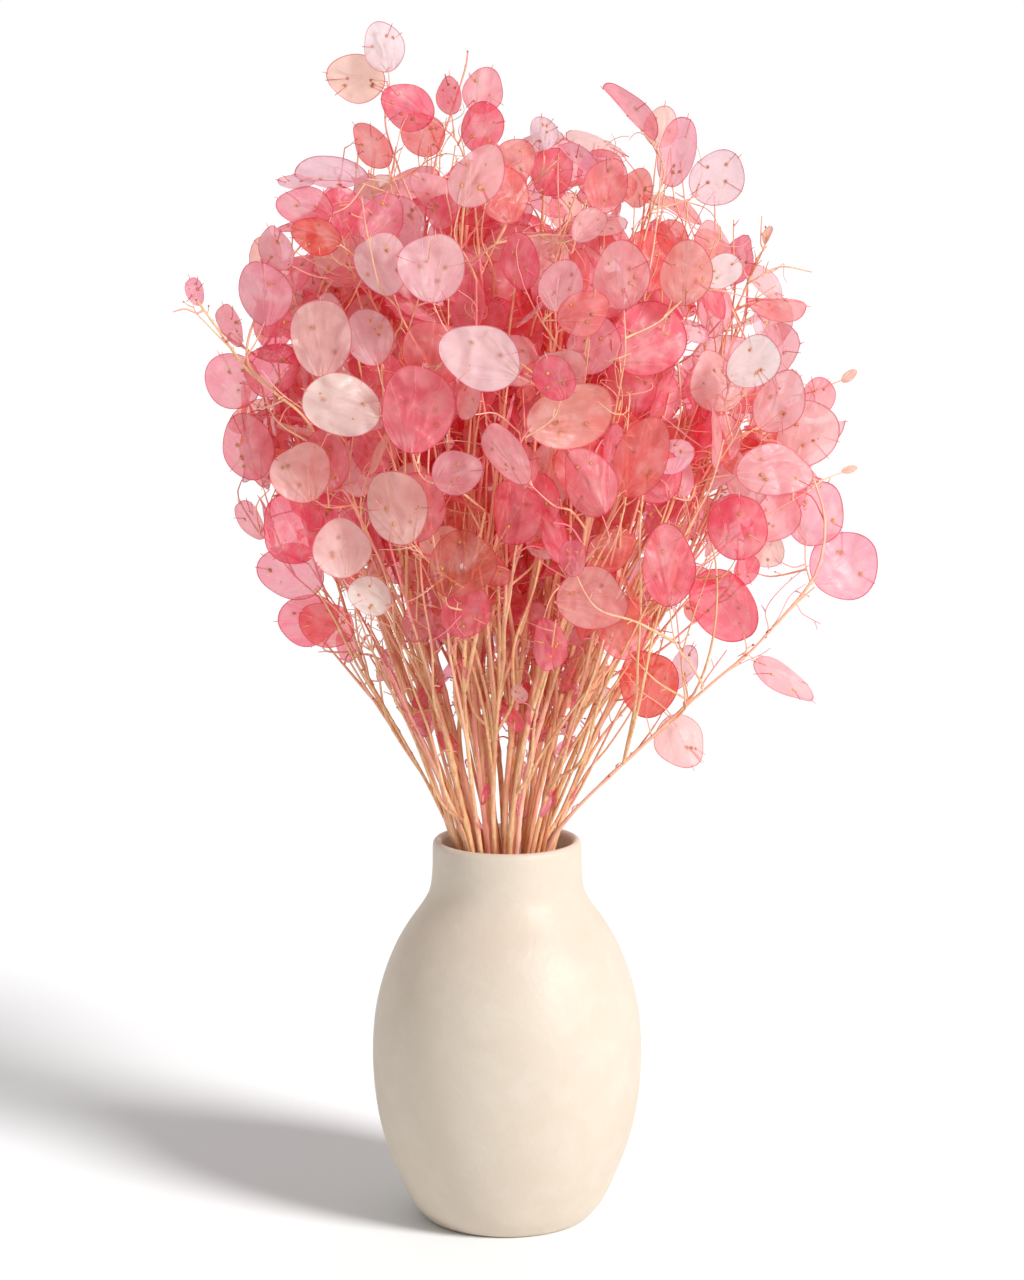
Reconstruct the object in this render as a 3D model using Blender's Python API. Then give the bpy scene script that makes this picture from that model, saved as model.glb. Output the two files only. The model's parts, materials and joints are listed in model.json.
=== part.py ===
"""A bunch of dyed honesty stems (Lunaria annua) with papery seed pods, in a stoneware vase.

Run with: blender --background --python part.py
The vase stands on z = 0 with its axis on Z. Each stem grew as one piece with its twigs and pods,
and is one object. Sizes are written in millimetres and become metres where a mesh is made.
"""

import math
import random

import bmesh
import bpy
import numpy as np
from mathutils import Vector

MM = 0.001

# The vase: outside radius at each height, and the wall inside it.
VASE_HEIGHT = 196.4
VASE_WALL = 4.7
VASE_FLOOR = 8.0
FOOT_RADIUS = 40.0
VASE_OUTLINE = [  # (height, radius)
    (0.0, FOOT_RADIUS),
    (3.0, 44.2),
    (10.0, 49.7),
    (22.0, 55.3),
    (42.0, 62.6),
    (62.0, 66.8),
    (86.0, 68.4),
    (108.0, 66.8),
    (126.0, 62.5),
    (141.0, 56.6),
    (152.0, 50.4),
    (162.0, 43.4),
    (170.0, 39.2),
    (180.0, 37.8),
    (191.0, 37.6),
]
VASE_SEGMENTS = 32

MOUTH_HEIGHT = 198.0

# The bunch: at each height, the ellipse that the stems fill and how far the bunch has turned.
FAN = [  # (height, half width, half depth, centre x, centre y, turn in degrees)
    (VASE_FLOOR + 0.6, 21.0, 16.0, 0.0, -5.0, -40.0),
    (75.0, 18.0, 14.0, 0.0, -5.0, -28.0),
    (140.0, 18.0, 13.5, 0.0, -6.5, -14.0),
    (175.0, 22.5, 17.0, 0.0, -8.0, -4.0),
    (MOUTH_HEIGHT, 27.5, 21.5, 0.0, -7.5, 0.0),
    (225.0, 38.0, 30.0, 0.0, -7.0, 3.0),
    (258.0, 54.0, 43.0, 1.0, -6.0, 7.0),
    (295.0, 73.0, 59.0, 3.0, -5.0, 11.0),
    (335.0, 91.0, 75.0, 5.0, -4.0, 15.0),
    (375.0, 106.0, 88.0, 7.0, -3.0, 18.0),
    (415.0, 118.0, 98.0, 8.0, -2.0, 21.0),
    (455.0, 127.0, 106.0, 9.0, -2.0, 23.0),
    (495.0, 133.0, 111.0, 9.0, -2.0, 25.0),
    (535.0, 137.0, 114.0, 9.0, -2.0, 26.0),
    (575.0, 139.0, 116.0, 9.0, -2.0, 27.0),
]
FAN_STEMS = 34
CENTRE_TOP = 546.0  # tip height of a stem in the middle of the bunch
RIM_DROP = 138.0  # how much lower the outermost stems end
STEM_RADIUS = 1.45
STEM_TIP_RADIUS = 0.7
OUTRIDER_SLIMMER = 0.62  # girth of a stem that leaves the fan, against one that stays in it

# The side that faces the viewer is laid out as it is seen from SIGHT_POINT, looking at SIGHT_CENTRE:
# right and up are measured in the plane through SIGHT_CENTRE that is square to the line of sight.
SIGHT_POINT = np.array([0.0, -1862.0, 619.5])
SIGHT_CENTRE = np.array([0.0, 0.0, 298.0])
DOME_CENTRE = np.array([8.0, -4.0, 425.0])
DOME_RADII = np.array([148.0, 122.0, 166.0])
LAYER_DEPTH = 17.0

# Stems that leave the fan, by their place in its pattern: the height where they leave, then (right, up, y).
OUTRIDERS = {
    31: (
        198.0,
        [
            (36.5, -82.5, -29),
            (72.5, -48.5, -42),
            (89.5, -33, -47),
            (107.5, -17.5, -51),
            (121.5, -6, -53),
            (132, 5, -53),
            (144, 17.5, -52),
            (154, 26.5, -50),
        ],
    ),
    30: (
        198.0,
        [(-40, -71.5, -9), (-54, -46.5, -7), (-67, -23, -4), (-79, -1, -1), (-91, 18, 2), (-106, 32, 4)],
    ),
    25: (
        258.0,
        [
            (-41, -12, -42),
            (-56, 24, -52),
            (-73, 60, -62),
            (-88.5, 90, -68),
            (-101, 111, -72),
            (-115, 123, -70),
            (-130, 135.5, -62),
            (-140, 149, -56),
            (-150, 163, -52),
            (-156, 171, -50),
        ],
    ),
    18: (
        415.0,
        [(104, 136.5, -10), (112.5, 160, -14), (119, 175, -16), (125, 190, -18), (130, 197, -18)],
    ),
    9: (455.0, [(-46, 209, -29), (-53.5, 234, -30), (-60, 254, -30), (-61, 268, -30)]),
    6: (
        455.0,
        [(-41, 208, 12), (-38, 227, 10), (-34, 246, 6), (-28, 263, 2), (-21, 285, -2), (-19.5, 294, -3)],
    ),
}

# Twigs with no pod: (right, up) from where they spring to their tip, and the y they lie at.
BARE_TWIGS = [
    ([(-10, 189), (-2, 205), (10, 225), (26.5, 241)], -60),
    ([(122, 179), (136.5, 186.5), (152.5, 184)], -19),
    ([(127, 199), (127.5, 212)], -20),
    ([(118, 167), (134.5, 177)], -22),
    ([(90, 28), (98, 38), (122, 57), (150, 74)], -45),
    ([(108, 92), (120, 103), (136, 113), (151, 121)], -40),
    ([(-53, -35), (-63, -12), (-84, 15), (-99, 38)], -30),
    ([(-155, 163.5), (-161, 165.5), (-167, 164)], -52),
    ([(89, -28), (84.5, 16)], -50),
    ([(98, -22), (110, -5)], -55),
    ([(-92, -4), (-78, 14)], -10),
    ([(40, 196), (38, 214), (44, 228)], -20),
    ([(-52, 212), (-58, 226), (-56, 240)], -40),
]

# Pods by their middle, each slid along its sight line onto the dome of the bunch.
# (right, up, layer behind the dome, length, width, roll of the tip from upright, turn about the length)
SHOW_PODS = [
    (-62, 297, 0, 26, 22, -15, 0),
    (-75, 281, 0, 28, 24, -80, 10),
    (-49, 267, 0, 26, 22, -60, 0),
    (-42, 253, 1, 23, 21, -20, 15),
    (-67, 247, 0, 24, 20, -40, 40),
    (-12, 274, 0, 21, 20, 20, 0),
    (-28, 272, 1, 18, 15, 0, 20),
    (-12, 256, 0, 24, 22, 10, 15),
    (-15, 232, 0, 33, 26, 25, 10),
    (-2, 223, 1, 30, 25, -10, -10),
    (-87, 232, 0, 34, 27, -85, 55),
    (-105, 230, 0, 18, 12, -90, 60),
    (-100, 216, 0, 26, 22, -70, 15),
    (-83, 213, 1, 25, 24, 0, 0),
    (-95, 202, 0, 24, 18, -80, 25),
    (-63, 210, 1, 25, 21, 40, 10),
    (-114, 196, 0, 22, 20, -30, 25),
    (-109, 184, 1, 27, 20, -120, 40),
    (-122, 173, 0, 32, 27, 0, 10),
    (-64, 188, 0, 32, 26, -30, 25),
    (-37, 186, 0, 34, 31, 5, 0),
    (-32, 214, 1, 17, 15, 20, 20),
    (7, 189, 1, 27, 22, 0, 20),
    (-93, 151, 0, 37, 30, 0, 10),
    (-82, 118, 0, 38, 30, -68, 5),
    (-45, 115, 0, 41, 35, 8, 5),
    (-12, 141, 0, 37, 31, -62, 10),
    (-36, 144, 1, 34, 30, 0, 0),
    (-136, 130, 0, 28, 27, -30, 0),
    (-118, 135, 1, 28, 26, 20, 10),
    (-129, 96, 0, 32, 26, -15, 5),
    (-103, 84, 0, 30, 29, -20, 0),
    (-90, 90, 1, 31, 23, 0, 20),
    (-55, 66, 0, 36, 30, -18, 5),
    (-46, 66, 1, 34, 28, 10, 10),
    (-25, 84, 0, 25, 22, 60, 10),
    (0, 93, 0, 34, 26, -38, 48),
    (-68, 151, 1, 27, 23, -15, 15),
    (-117, 158, 1, 26, 20, 0, 15),
    (-138, 157, 0, 22, 16, -20, 50),
    (-62, 132, 2, 22, 20, 0, 0),
    (-107, 55, 0, 35, 32, -30, 5),
    (-82, 46, 0, 30, 29, -10, 0),
    (-107, 34, 1, 32, 28, -60, 10),
    (-68, 22, 0, 22, 19, -60, 10),
    (-99, 10, 0, 31, 27, -85, 5),
    (-90, 8, 1, 28, 25, -60, 15),
    (-128, 60, 0, 22, 16, -30, 50),
    (-23, 37, 0, 34, 30, 30, 5),
    (-84, 64, 2, 24, 21, 0, 0),
    (57, 182, 0, 32, 29, -10, 5),
    (71, 150, 0, 38, 35, 60, 0),
    (32, 112, 0, 43, 31, 80, 0),
    (67, 90, 0, 38, 29, 35, 10),
    (40, 78, 0, 33, 26, -30, 10),
    (24, 132, 0, 24, 22, -20, 10),
    (38, 163, 0, 24, 21, 75, 10),
    (27, 177, 1, 26, 22, 0, 10),
    (90, 183, 0, 30, 25, 10, 10),
    (108, 184, 0, 20, 16, 60, 20),
    (169, 38, 0, 36, 35, 60, 0),
    (154, 62, 0, 31, 30, 20, 10),
    (116, 56, 0, 31, 30, 0, 5),
    (134, 85, 0, 39, 26, 80, 10),
    (150, 103, 0, 34, 31, 20, 10),
    (137, 119, 1, 33, 27, 40, 15),
    (155, 121, 1, 21, 17, 30, 10),
    (123, 139, 0, 28, 25, 60, 20),
    (135, 169, 0, 29, 18, 100, 50),
    (62, 127, 1, 30, 25, 0, 10),
    (110, 18, 0, 40, 32, -25, 5),
    (81, 36, 0, 37, 26, 0, 5),
    (43, 21, 0, 36, 30, 85, 0),
    (52, 44, 1, 25, 20, 60, 10),
    (71, -21, 0, 37, 29, 10, 15),
    (88, -14, 0, 23, 16, 20, 40),
    (87, -50, 0, 28, 26, 160, 5),
    (138, -20, 0, 34, 22, 125, 50),
    (33, 41, 0, 18, 14, -10, 20),
    (20, -2, 1, 26, 18, 160, 20),
    (61, 263, 0, 35, 24, -45, 68),
    (86, 244, 0, 34, 20, 12, 25),
    (105, 231, 0, 28, 26, 45, 5),
    (77, 256, 1, 19, 17, 10, 0),
    (50, 227, 0, 26, 20, 10, 10),
    (41, 207, 0, 20, 14, 40, 20),
    (36, 240, 0, 25, 18, -45, 60),
    (18, 253, 0, 16, 14, 0, 10),
    (23, 234, 1, 24, 21, 30, 10),
    (4, 239, 1, 22, 19, 0, 10),
    (66, 226, 1, 19, 16, 20, 15),
    (83, 200, 0, 20, 16, -20, 30),
    (-156, 174, 0, 14, 9, -20, 20),
    (131, 202, 0, 9, 5, 10, 20),
    (171, 132, 0, 9, 5, 50, 20),
    (171, 85, 0, 8, 4, 70, 20),
]

# The pods that fill the bunch and its far side.
FILL_CENTRE = np.array([6.0, -2.0, 412.0])
FILL_RADII = np.array([142.0, 116.0, 140.0])
FILL_PODS = 150
FILL_LOW = 298.0  # no filling pod has its centre under this height
POD_THICKNESS = 0.7
PEDICEL_RADIUS = 0.28
TWIG_RADIUS = 0.8
LOWEST_TWIG = 235.0
PEDICEL_GRIP = 2.5  # how far a stalk runs into its pod
CLEARANCE = 0.9  # least gap between pieces of different stems
SMALL_POD = 16.0
POD_TWIST = 16.0
POD_NOD = 20.0
STEM_SIDES = 4
TWIG_SIDES = 3
DYES = [
    ("rose_pods", (0.72, 0.27, 0.31)),
    ("pale_pods", (0.80, 0.53, 0.50)),
    ("pink_pods", (0.78, 0.37, 0.40)),
]
SEED = 11


def unit(v):
    return v / np.linalg.norm(v)


def between(points, per_span):
    """The points, with per_span - 1 more put evenly between each two."""
    p = np.asarray(points, float)
    share = np.arange(per_span)[None, :, None] / per_span
    steps = p[:-1, None] + (p[1:] - p[:-1])[:, None] * share
    return np.vstack([steps.reshape(-1, 3), p[-1:]])


def turned_frame(axis, hint):
    """Two unit vectors square to axis, the first as near hint as it can be."""
    first = hint - axis * (hint @ axis)
    if np.linalg.norm(first) < 1e-3:
        first = np.cross(axis, [0.3, 0.8, 0.5])
    first = unit(first)
    return first, np.cross(axis, first)


class Bunch:
    """Where every stem, twig and pod goes.

    Wood is straight lengths with a radius, and a pod is a flat round disc.
    """

    def __init__(self):
        self.rng = random.Random(SEED)
        self.paths = []  # {"stem", "parent", "points", "radii"}
        self.pods = []  # {"stem", "centre", "normal", "up", "length", "width", "path"}
        self.starts, self.ends = np.zeros((0, 3)), np.zeros((0, 3))
        self.thick, self.owner = np.zeros(0), np.zeros(0, int)

    def add_path(self, stem, parent, points, radii):
        points, radii = np.asarray(points, float), np.asarray(radii, float)
        self.paths.append({"stem": stem, "parent": parent, "points": points, "radii": radii})
        self.starts = np.vstack([self.starts, points[:-1]])
        self.ends = np.vstack([self.ends, points[1:]])
        self.thick = np.append(self.thick, np.maximum(radii[:-1], radii[1:]))
        self.owner = np.append(self.owner, np.full(len(points) - 1, len(self.paths) - 1))
        return len(self.paths) - 1

    def wood_clear(self, points, radius, skip):
        """True if a run of straight lengths keeps off all wood but the path it grows from."""
        other = self.owner != skip
        a, b, r = self.starts[other], self.ends[other], self.thick[other]
        for p, q in zip(points[:-1], points[1:]):
            if (segment_gaps(p, q, a, b) < r + radius + CLEARANCE).any():
                return False
        return True

    def disc_clear_of_wood(self, centre, normal, radius):
        """True if no wood touches the disc."""
        near = np.linalg.norm((self.starts + self.ends) / 2 - centre, axis=1) < radius + 45
        a, b, r = self.starts[near] - centre, self.ends[near] - centre, self.thick[near]
        for share in np.linspace(0, 1, 9):
            p = a + (b - a) * share
            high = p @ normal
            flat = np.linalg.norm(p - np.outer(high, normal), axis=1)
            if ((np.abs(high) < r + CLEARANCE) & (flat < radius + r + CLEARANCE)).any():
                return False
        ha, hb = a @ normal, b @ normal
        cross = ha * hb < 0
        share = ha[cross] / (ha[cross] - hb[cross])
        at = a[cross] + (b[cross] - a[cross]) * share[:, None]
        return not (np.linalg.norm(at, axis=1) < radius + r[cross] + CLEARANCE).any()

    def path_clear_of_discs(self, points, radius):
        for pod in self.pods:
            if np.linalg.norm(points - pod["centre"], axis=1).min() > pod["length"] / 2 + 40:
                continue
            reach = pod["length"] / 2 + radius + CLEARANCE
            fine = between(points, 5) - pod["centre"]
            high = fine @ pod["normal"]
            flat = np.linalg.norm(fine - np.outer(high, pod["normal"]), axis=1)
            if ((np.abs(high) < radius + CLEARANCE) & (flat < reach)).any():
                return False
            crossing = (high[1:] * high[:-1] < 0) & (flat[1:] < reach) & (flat[:-1] < reach)
            if crossing.any():
                return False
        return True

    def disc_clear_of_discs(self, centre, normal, radius):
        for pod in self.pods:
            gap = np.linalg.norm(pod["centre"] - centre)
            if gap < radius + pod["length"] / 2 + CLEARANCE and discs_meet(
                centre, normal, radius, pod["centre"], pod["normal"], pod["length"] / 2
            ):
                return False
        return True

    def grow_stems(self):
        """The main stems: a sunflower pattern of points in the mouth, carried up and down by the fan."""
        for number in range(FAN_STEMS):
            ring = math.sqrt((number + 0.5) / FAN_STEMS)
            angle = number * math.pi * (3 - math.sqrt(5)) + 0.4
            top = CENTRE_TOP - RIM_DROP * ring**2.6 + self.rng.uniform(-26, 14)
            leaves_at, way_out = OUTRIDERS.get(number, (top, []))
            points = []
            for height, wide, deep, x, y, turn in FAN:
                if height > min(top + 12, leaves_at):
                    break
                a = angle + math.radians(turn)
                sway = max(0.0, height - 215.0) / 100.0
                points.append(
                    (
                        x + wide * ring * math.cos(a) + self.rng.uniform(-2.2, 2.2) * sway,
                        y + deep * ring * math.sin(a) + self.rng.uniform(-2.2, 2.2) * sway,
                        height,
                    )
                )
            self.add_stem(points, [seen_at(*place) for place in way_out])

    def add_stem(self, inner, outer):
        points = inner + outer
        radii = np.interp(
            np.linspace(0, 1, len(points)), [0, 0.45, 1], [STEM_RADIUS, STEM_RADIUS * 0.93, STEM_TIP_RADIUS]
        )
        radii[len(inner) :] *= OUTRIDER_SLIMMER
        stem = sum(1 for path in self.paths if path["parent"] is None)
        self.add_path(stem, None, points, radii * self.rng.uniform(0.9, 1.08))

    def carriers(self, base, reach, steepest, least=7.0):
        """Places on the wood that a pod's stalk could grow from, nearest first."""
        found = []
        load = np.bincount(np.array([pod["stem"] for pod in self.pods], int), minlength=FAN_STEMS)
        for index, path in enumerate(self.paths):
            line = between(path["points"], 4)
            tangents = np.gradient(line, axis=0)
            tangents /= np.linalg.norm(tangents, axis=1)[:, None]
            rise = base - line
            length = np.linalg.norm(rise, axis=1)
            forward = (rise * tangents).sum(1) / np.maximum(length, 1e-6)
            fits = (length < reach) & (length > least) & (forward > steepest) & (line[:, 2] > LOWEST_TWIG)
            if path["parent"] is not None:
                fits[:3] = False
            for at in np.flatnonzero(fits):
                cost = length[at] * (1.8 - 0.8 * forward[at]) * (1 + 0.05 * load[path["stem"]])
                found.append((cost, index, line[at], tangents[at]))
        return sorted(found, key=lambda item: item[0])

    def hang(self, centre, normal, up, length, width, reach, tries=14, steepest=0.15):
        """Grows a stalk from the nearest wood to the pod's base. True if there was a clear way."""
        if not self.disc_clear_of_discs(centre, normal, length / 2):
            return False
        if not self.disc_clear_of_wood(centre, normal, length / 2):
            return False
        base = centre - up * length / 2
        for _, index, start, tangent in self.carriers(base, reach, steepest)[:tries]:
            away = base - start
            run = np.linalg.norm(away)
            if away @ up < 0.1 * run:
                continue
            leave = unit(tangent * 0.55 + away / run)
            spans = 1 if run < 13 else 2 if run < 48 else 3
            t = np.linspace(0, 1, spans + 1)[:, None]
            c1, c2 = start + leave * run * 0.4, base - up * run * 0.33
            line = start * (1 - t) ** 3 + c1 * 3 * t * (1 - t) ** 2 + c2 * 3 * t * t * (1 - t) + base * t**3
            thick = min(0.95, 0.55 + 0.006 * run)
            if self.wood_clear(line, thick, index) and self.path_clear_of_discs(line, thick):
                radii = np.linspace(thick, PEDICEL_RADIUS, len(line))
                line[-1] += up * PEDICEL_GRIP
                stem = self.paths[index]["stem"]
                path = self.add_path(stem, index, line, radii)
                pod = {"stem": stem, "centre": centre, "normal": normal, "up": up}
                self.pods.append({**pod, "length": length, "width": width, "path": path})
                return True
        return False

    def grow_twigs(self):
        """The twigs with no pod, each slid back until it is clear. Returns how many found no place."""
        missed = 0
        for places, y in BARE_TWIGS:
            for push in (0, 6, -6, 12, -12, 18, -18, 26, 34):
                points = np.array([seen_at(right, up, y + push) for right, up in places])
                if self.grow_twig(points):
                    break
            else:
                missed += 1
        return missed

    def grow_twig(self, points):
        for _, index, start, _ in self.carriers(points[0], reach=40, steepest=-0.2, least=1.5)[:8]:
            line = np.vstack([start, points])
            if self.wood_clear(line, TWIG_RADIUS, index) and self.path_clear_of_discs(line, TWIG_RADIUS):
                radii = np.linspace(TWIG_RADIUS, TWIG_RADIUS * 0.5, len(line))
                self.add_path(self.paths[index]["stem"], index, line, radii)
                return True
        return False

    def show_pods(self):
        """The pods on the viewer's side. Each slides back from the dome until it and its stalk are clear."""
        ahead = unit(SIGHT_CENTRE - SIGHT_POINT)
        right = np.array([1.0, 0.0, 0.0])
        above = np.cross(right, ahead)
        missed = 0
        for x, y, layer, length, width, roll, turn in SHOW_PODS:
            sight = unit(SIGHT_CENTRE + right * x + above * y - SIGHT_POINT)
            start = dome_distance(sight) + layer * LAYER_DEPTH
            across = unit(np.cross(sight, above))
            upright = np.cross(across, sight)
            a, b = math.radians(roll), math.radians(turn)
            up = upright * math.cos(a) + across * math.sin(a)
            side = np.cross(up, sight)
            loose = 1.0 if turn < 30 else 0.2
            b += math.radians(self.rng.uniform(-POD_TWIST, POD_TWIST)) * loose
            normal = unit(-sight * math.cos(b) + side * math.sin(b))
            nod = math.tan(math.radians(self.rng.uniform(-POD_NOD, POD_NOD))) * loose
            up, normal = unit(up + normal * nod), unit(normal - up * nod)
            for push in (0, 7, 14, 21, -7, 28, 35, -14, 42, 50):
                centre = SIGHT_POINT + sight * (start + push)
                if self.hang(centre, normal, up, length, width, reach=125, tries=40):
                    break
            else:
                missed += 1
        return missed

    def fill_pods(self):
        """The pods that fill the bunch and its far side, spread evenly and kept behind those shown."""
        shown = len(self.pods)
        made = 0
        for _ in range(FILL_PODS * 60):
            if made == FILL_PODS:
                break
            best, best_gap = None, -1.0
            for _ in range(5):
                way = unit(np.array([self.rng.gauss(0, 1) for _ in range(3)]))
                spot = FILL_CENTRE + way * FILL_RADII * self.rng.uniform(0.35, 1.0) ** 0.6
                gap = min((np.linalg.norm(spot - pod["centre"]) for pod in self.pods), default=99)
                if gap > best_gap:
                    best, best_gap, best_way = spot, gap, way
            length = self.rng.uniform(25, 38)
            width = length * self.rng.uniform(0.78, 0.95)
            loose = np.array([self.rng.gauss(0, 1) for _ in range(3)])
            normal = unit(best_way + 0.45 * loose)
            drift = np.array([self.rng.gauss(0, 1) for _ in range(3)]) + (0, 0, 1.2) + best_way * 0.6
            up = turned_frame(normal, drift)[0]
            if best[2] < FILL_LOW or self.hides_a_shown_pod(best, length, shown):
                continue
            made += self.hang(best, normal, up, length, width, reach=75, tries=10, steepest=0.3)
        return made

    def hides_a_shown_pod(self, centre, length, shown):
        """True if the spot lies before one of the shown pods for the viewer."""
        mine = np.linalg.norm(centre - SIGHT_POINT)
        sight = (centre - SIGHT_POINT) / mine
        for pod in self.pods[:shown]:
            far = np.linalg.norm(pod["centre"] - SIGHT_POINT)
            aside = np.linalg.norm(np.cross(pod["centre"] - SIGHT_POINT, sight))
            if mine < far and aside < 0.42 * (length + pod["length"]):
                return True
        return False


def seen_at(right, up, y):
    """The point that is seen at right, up and lies at y."""
    ahead = unit(SIGHT_CENTRE - SIGHT_POINT)
    across = np.array([1.0, 0.0, 0.0])
    sight = SIGHT_CENTRE + across * right + np.cross(across, ahead) * up - SIGHT_POINT
    return SIGHT_POINT + sight * (y - SIGHT_POINT[1]) / sight[1]


def dome_distance(sight):
    """How far along a sight line the dome of the bunch is, or its middle where the line passes beside it."""
    origin = (SIGHT_POINT - DOME_CENTRE) / DOME_RADII
    way = sight / DOME_RADII
    a, b, c = way @ way, origin @ way, origin @ origin - 1
    inside = b * b - a * c
    return (-b - math.sqrt(max(inside, 0.0))) / a


def segment_gaps(p, q, starts, ends):
    """Distance from the segment p-q to each segment of starts-ends."""
    d1, d2, r = q - p, ends - starts, p - starts
    a, e = d1 @ d1, (d2 * d2).sum(1)
    f, c, b = (d2 * r).sum(1), r @ d1, d2 @ d1
    denominator = np.maximum(a * e - b * b, 1e-9)
    s = np.clip((b * f - c * e) / denominator, 0, 1)
    t = np.clip((b * s + f) / e, 0, 1)
    s = np.clip((b * t - c) / a, 0, 1)
    return np.linalg.norm(r + s[:, None] * d1 - t[:, None] * d2, axis=1)


def discs_meet(c1, n1, r1, c2, n2, r2):
    """True if two flat discs touch, with room left for their thickness."""
    line = np.cross(n1, n2)
    tilt = np.linalg.norm(line)
    apart = c2 - c1
    room = 1.6
    if tilt < 0.12:
        return abs(apart @ n1) < room + tilt * (r1 + r2) / 2
    line /= tilt
    room /= tilt
    spans = []
    for centre, normal, other_centre, other_normal, radius in ((c1, n1, c2, n2, r1), (c2, n2, c1, n1, r2)):
        inward = np.cross(normal, line)
        offset = ((other_centre - centre) @ other_normal) / (inward @ other_normal)
        half = (radius + room) ** 2 - offset**2
        if half <= 0:
            return False
        middle = (centre - c1) @ line
        spans.append((middle - math.sqrt(half), middle + math.sqrt(half)))
    return spans[0][0] < spans[1][1] and spans[1][0] < spans[0][1]


def clear_scene():
    for obj in list(bpy.data.objects):
        bpy.data.objects.remove(obj, do_unlink=True)


def principled(name, colour, roughness):
    material = bpy.data.materials.new(name)
    material.use_nodes = True
    shader = material.node_tree.nodes["Principled BSDF"]
    shader.inputs["Base Color"].default_value = (*colour, 1.0)
    shader.inputs["Roughness"].default_value = roughness
    shader.inputs["Metallic"].default_value = 0.0
    return material


def add_object(name, verts, faces, material, smooth):
    mesh = bpy.data.meshes.new(name)
    mesh.from_pydata([Vector(v) * MM for v in verts], [], faces)
    mesh.materials.append(material)
    for polygon in mesh.polygons:
        polygon.use_smooth = smooth
    obj = bpy.data.objects.new(name, mesh)
    bpy.context.scene.collection.objects.link(obj)
    return obj


def tube(points, radii, sides):
    """A closed tube of straight lengths, each ring square to the mean of the lengths it joins."""
    points = np.asarray(points, float)
    tangents = np.gradient(points, axis=0)
    tangents /= np.linalg.norm(tangents, axis=1)[:, None]
    first = turned_frame(tangents[0], np.array([0.0, -1.0, 0.1]))[0]
    verts, faces = [], []
    for at, along, radius in zip(points, tangents, radii):
        first, second = turned_frame(along, first)
        for k in range(sides):
            a = 2 * math.pi * k / sides
            verts.append(at + (first * math.cos(a) + second * math.sin(a)) * radius)
    for ring in range(len(points) - 1):
        for k in range(sides):
            a, b = ring * sides + k, ring * sides + (k + 1) % sides
            faces.append((a, b, b + sides, a + sides))
    faces.append(tuple(reversed(range(sides))))
    last = (len(points) - 1) * sides
    faces.append(tuple(range(last, last + sides)))
    return verts, faces


def pod_plate(pod):
    """A flat round pod: narrow at the stalk, with a short beak at the tip."""
    up, normal = pod["up"], pod["normal"]
    across = np.cross(up, normal)
    half_length, half_width = pod["length"] / 2, pod["width"] / 2
    outline = [(0.0, -1.0), (0.78, -0.62), (1.0, 0.0), (0.74, 0.66), (0.0, 1.0)]
    if pod["length"] < SMALL_POD:
        outline = [(0.0, -1.0), (0.9, -0.1), (0.0, 1.0)]
    outline += [(-x, y) for x, y in outline[-2:0:-1]]
    n = len(outline)
    verts = [
        pod["centre"] + across * x * half_width + up * y * half_length + normal * lift * POD_THICKNESS / 2
        for lift in (-1, 1)
        for x, y in outline
    ]
    faces = [tuple(reversed(range(n))), tuple(range(n, 2 * n))]
    faces += [(k, (k + 1) % n, n + (k + 1) % n, n + k) for k in range(n)]
    return verts, faces


def joined(shapes):
    verts, faces = [], []
    for more_verts, more_faces in shapes:
        faces += [tuple(i + len(verts) for i in face) for face in more_faces]
        verts += list(more_verts)
    return verts, faces


def build_vase(material):
    outer = np.array([(radius, height) for height, radius in VASE_OUTLINE])
    slope = np.gradient(outer, axis=0)
    slope /= np.linalg.norm(slope, axis=1)[:, None]
    inner = outer + np.column_stack([-slope[:, 1], slope[:, 0]]) * VASE_WALL
    inner = inner[(inner[:, 1] > VASE_FLOOR + 6) & (outer[:, 1] < VASE_OUTLINE[-1][0])]
    mouth = VASE_OUTLINE[-1][1]
    lip = [
        (mouth - 0.4, VASE_HEIGHT - 2.2),
        (mouth - 1.6, VASE_HEIGHT - 0.4),
        (mouth - VASE_WALL / 2, VASE_HEIGHT),
        (mouth - VASE_WALL + 1.4, VASE_HEIGHT - 0.6),
        (mouth - VASE_WALL + 0.2, VASE_HEIGHT - 3.0),
    ]
    floor = [(inner[0][0] - 4.5, VASE_FLOOR + 1.6), (inner[0][0] - 10.0, VASE_FLOOR)]
    profile = [*outer, *lip, (mouth - VASE_WALL, VASE_OUTLINE[-1][0]), *inner[::-1], *floor]
    verts = [(0.0, 0.0, 0.0)]
    for radius, height in profile:
        for k in range(VASE_SEGMENTS):
            a = 2 * math.pi * k / VASE_SEGMENTS
            verts.append((radius * math.cos(a), radius * math.sin(a), height))
    verts.append((0.0, 0.0, VASE_FLOOR))
    last = len(verts) - 1
    faces = []
    for k in range(VASE_SEGMENTS):
        after = (k + 1) % VASE_SEGMENTS
        faces.append((0, 1 + after, 1 + k))
        for ring in range(len(profile) - 1):
            a, b = 1 + ring * VASE_SEGMENTS + k, 1 + ring * VASE_SEGMENTS + after
            faces.append((a, b, b + VASE_SEGMENTS, a + VASE_SEGMENTS))
        faces.append((last - VASE_SEGMENTS + k, last - VASE_SEGMENTS + after, last))
    add_object("vase", verts, faces, material, smooth=True)


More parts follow.
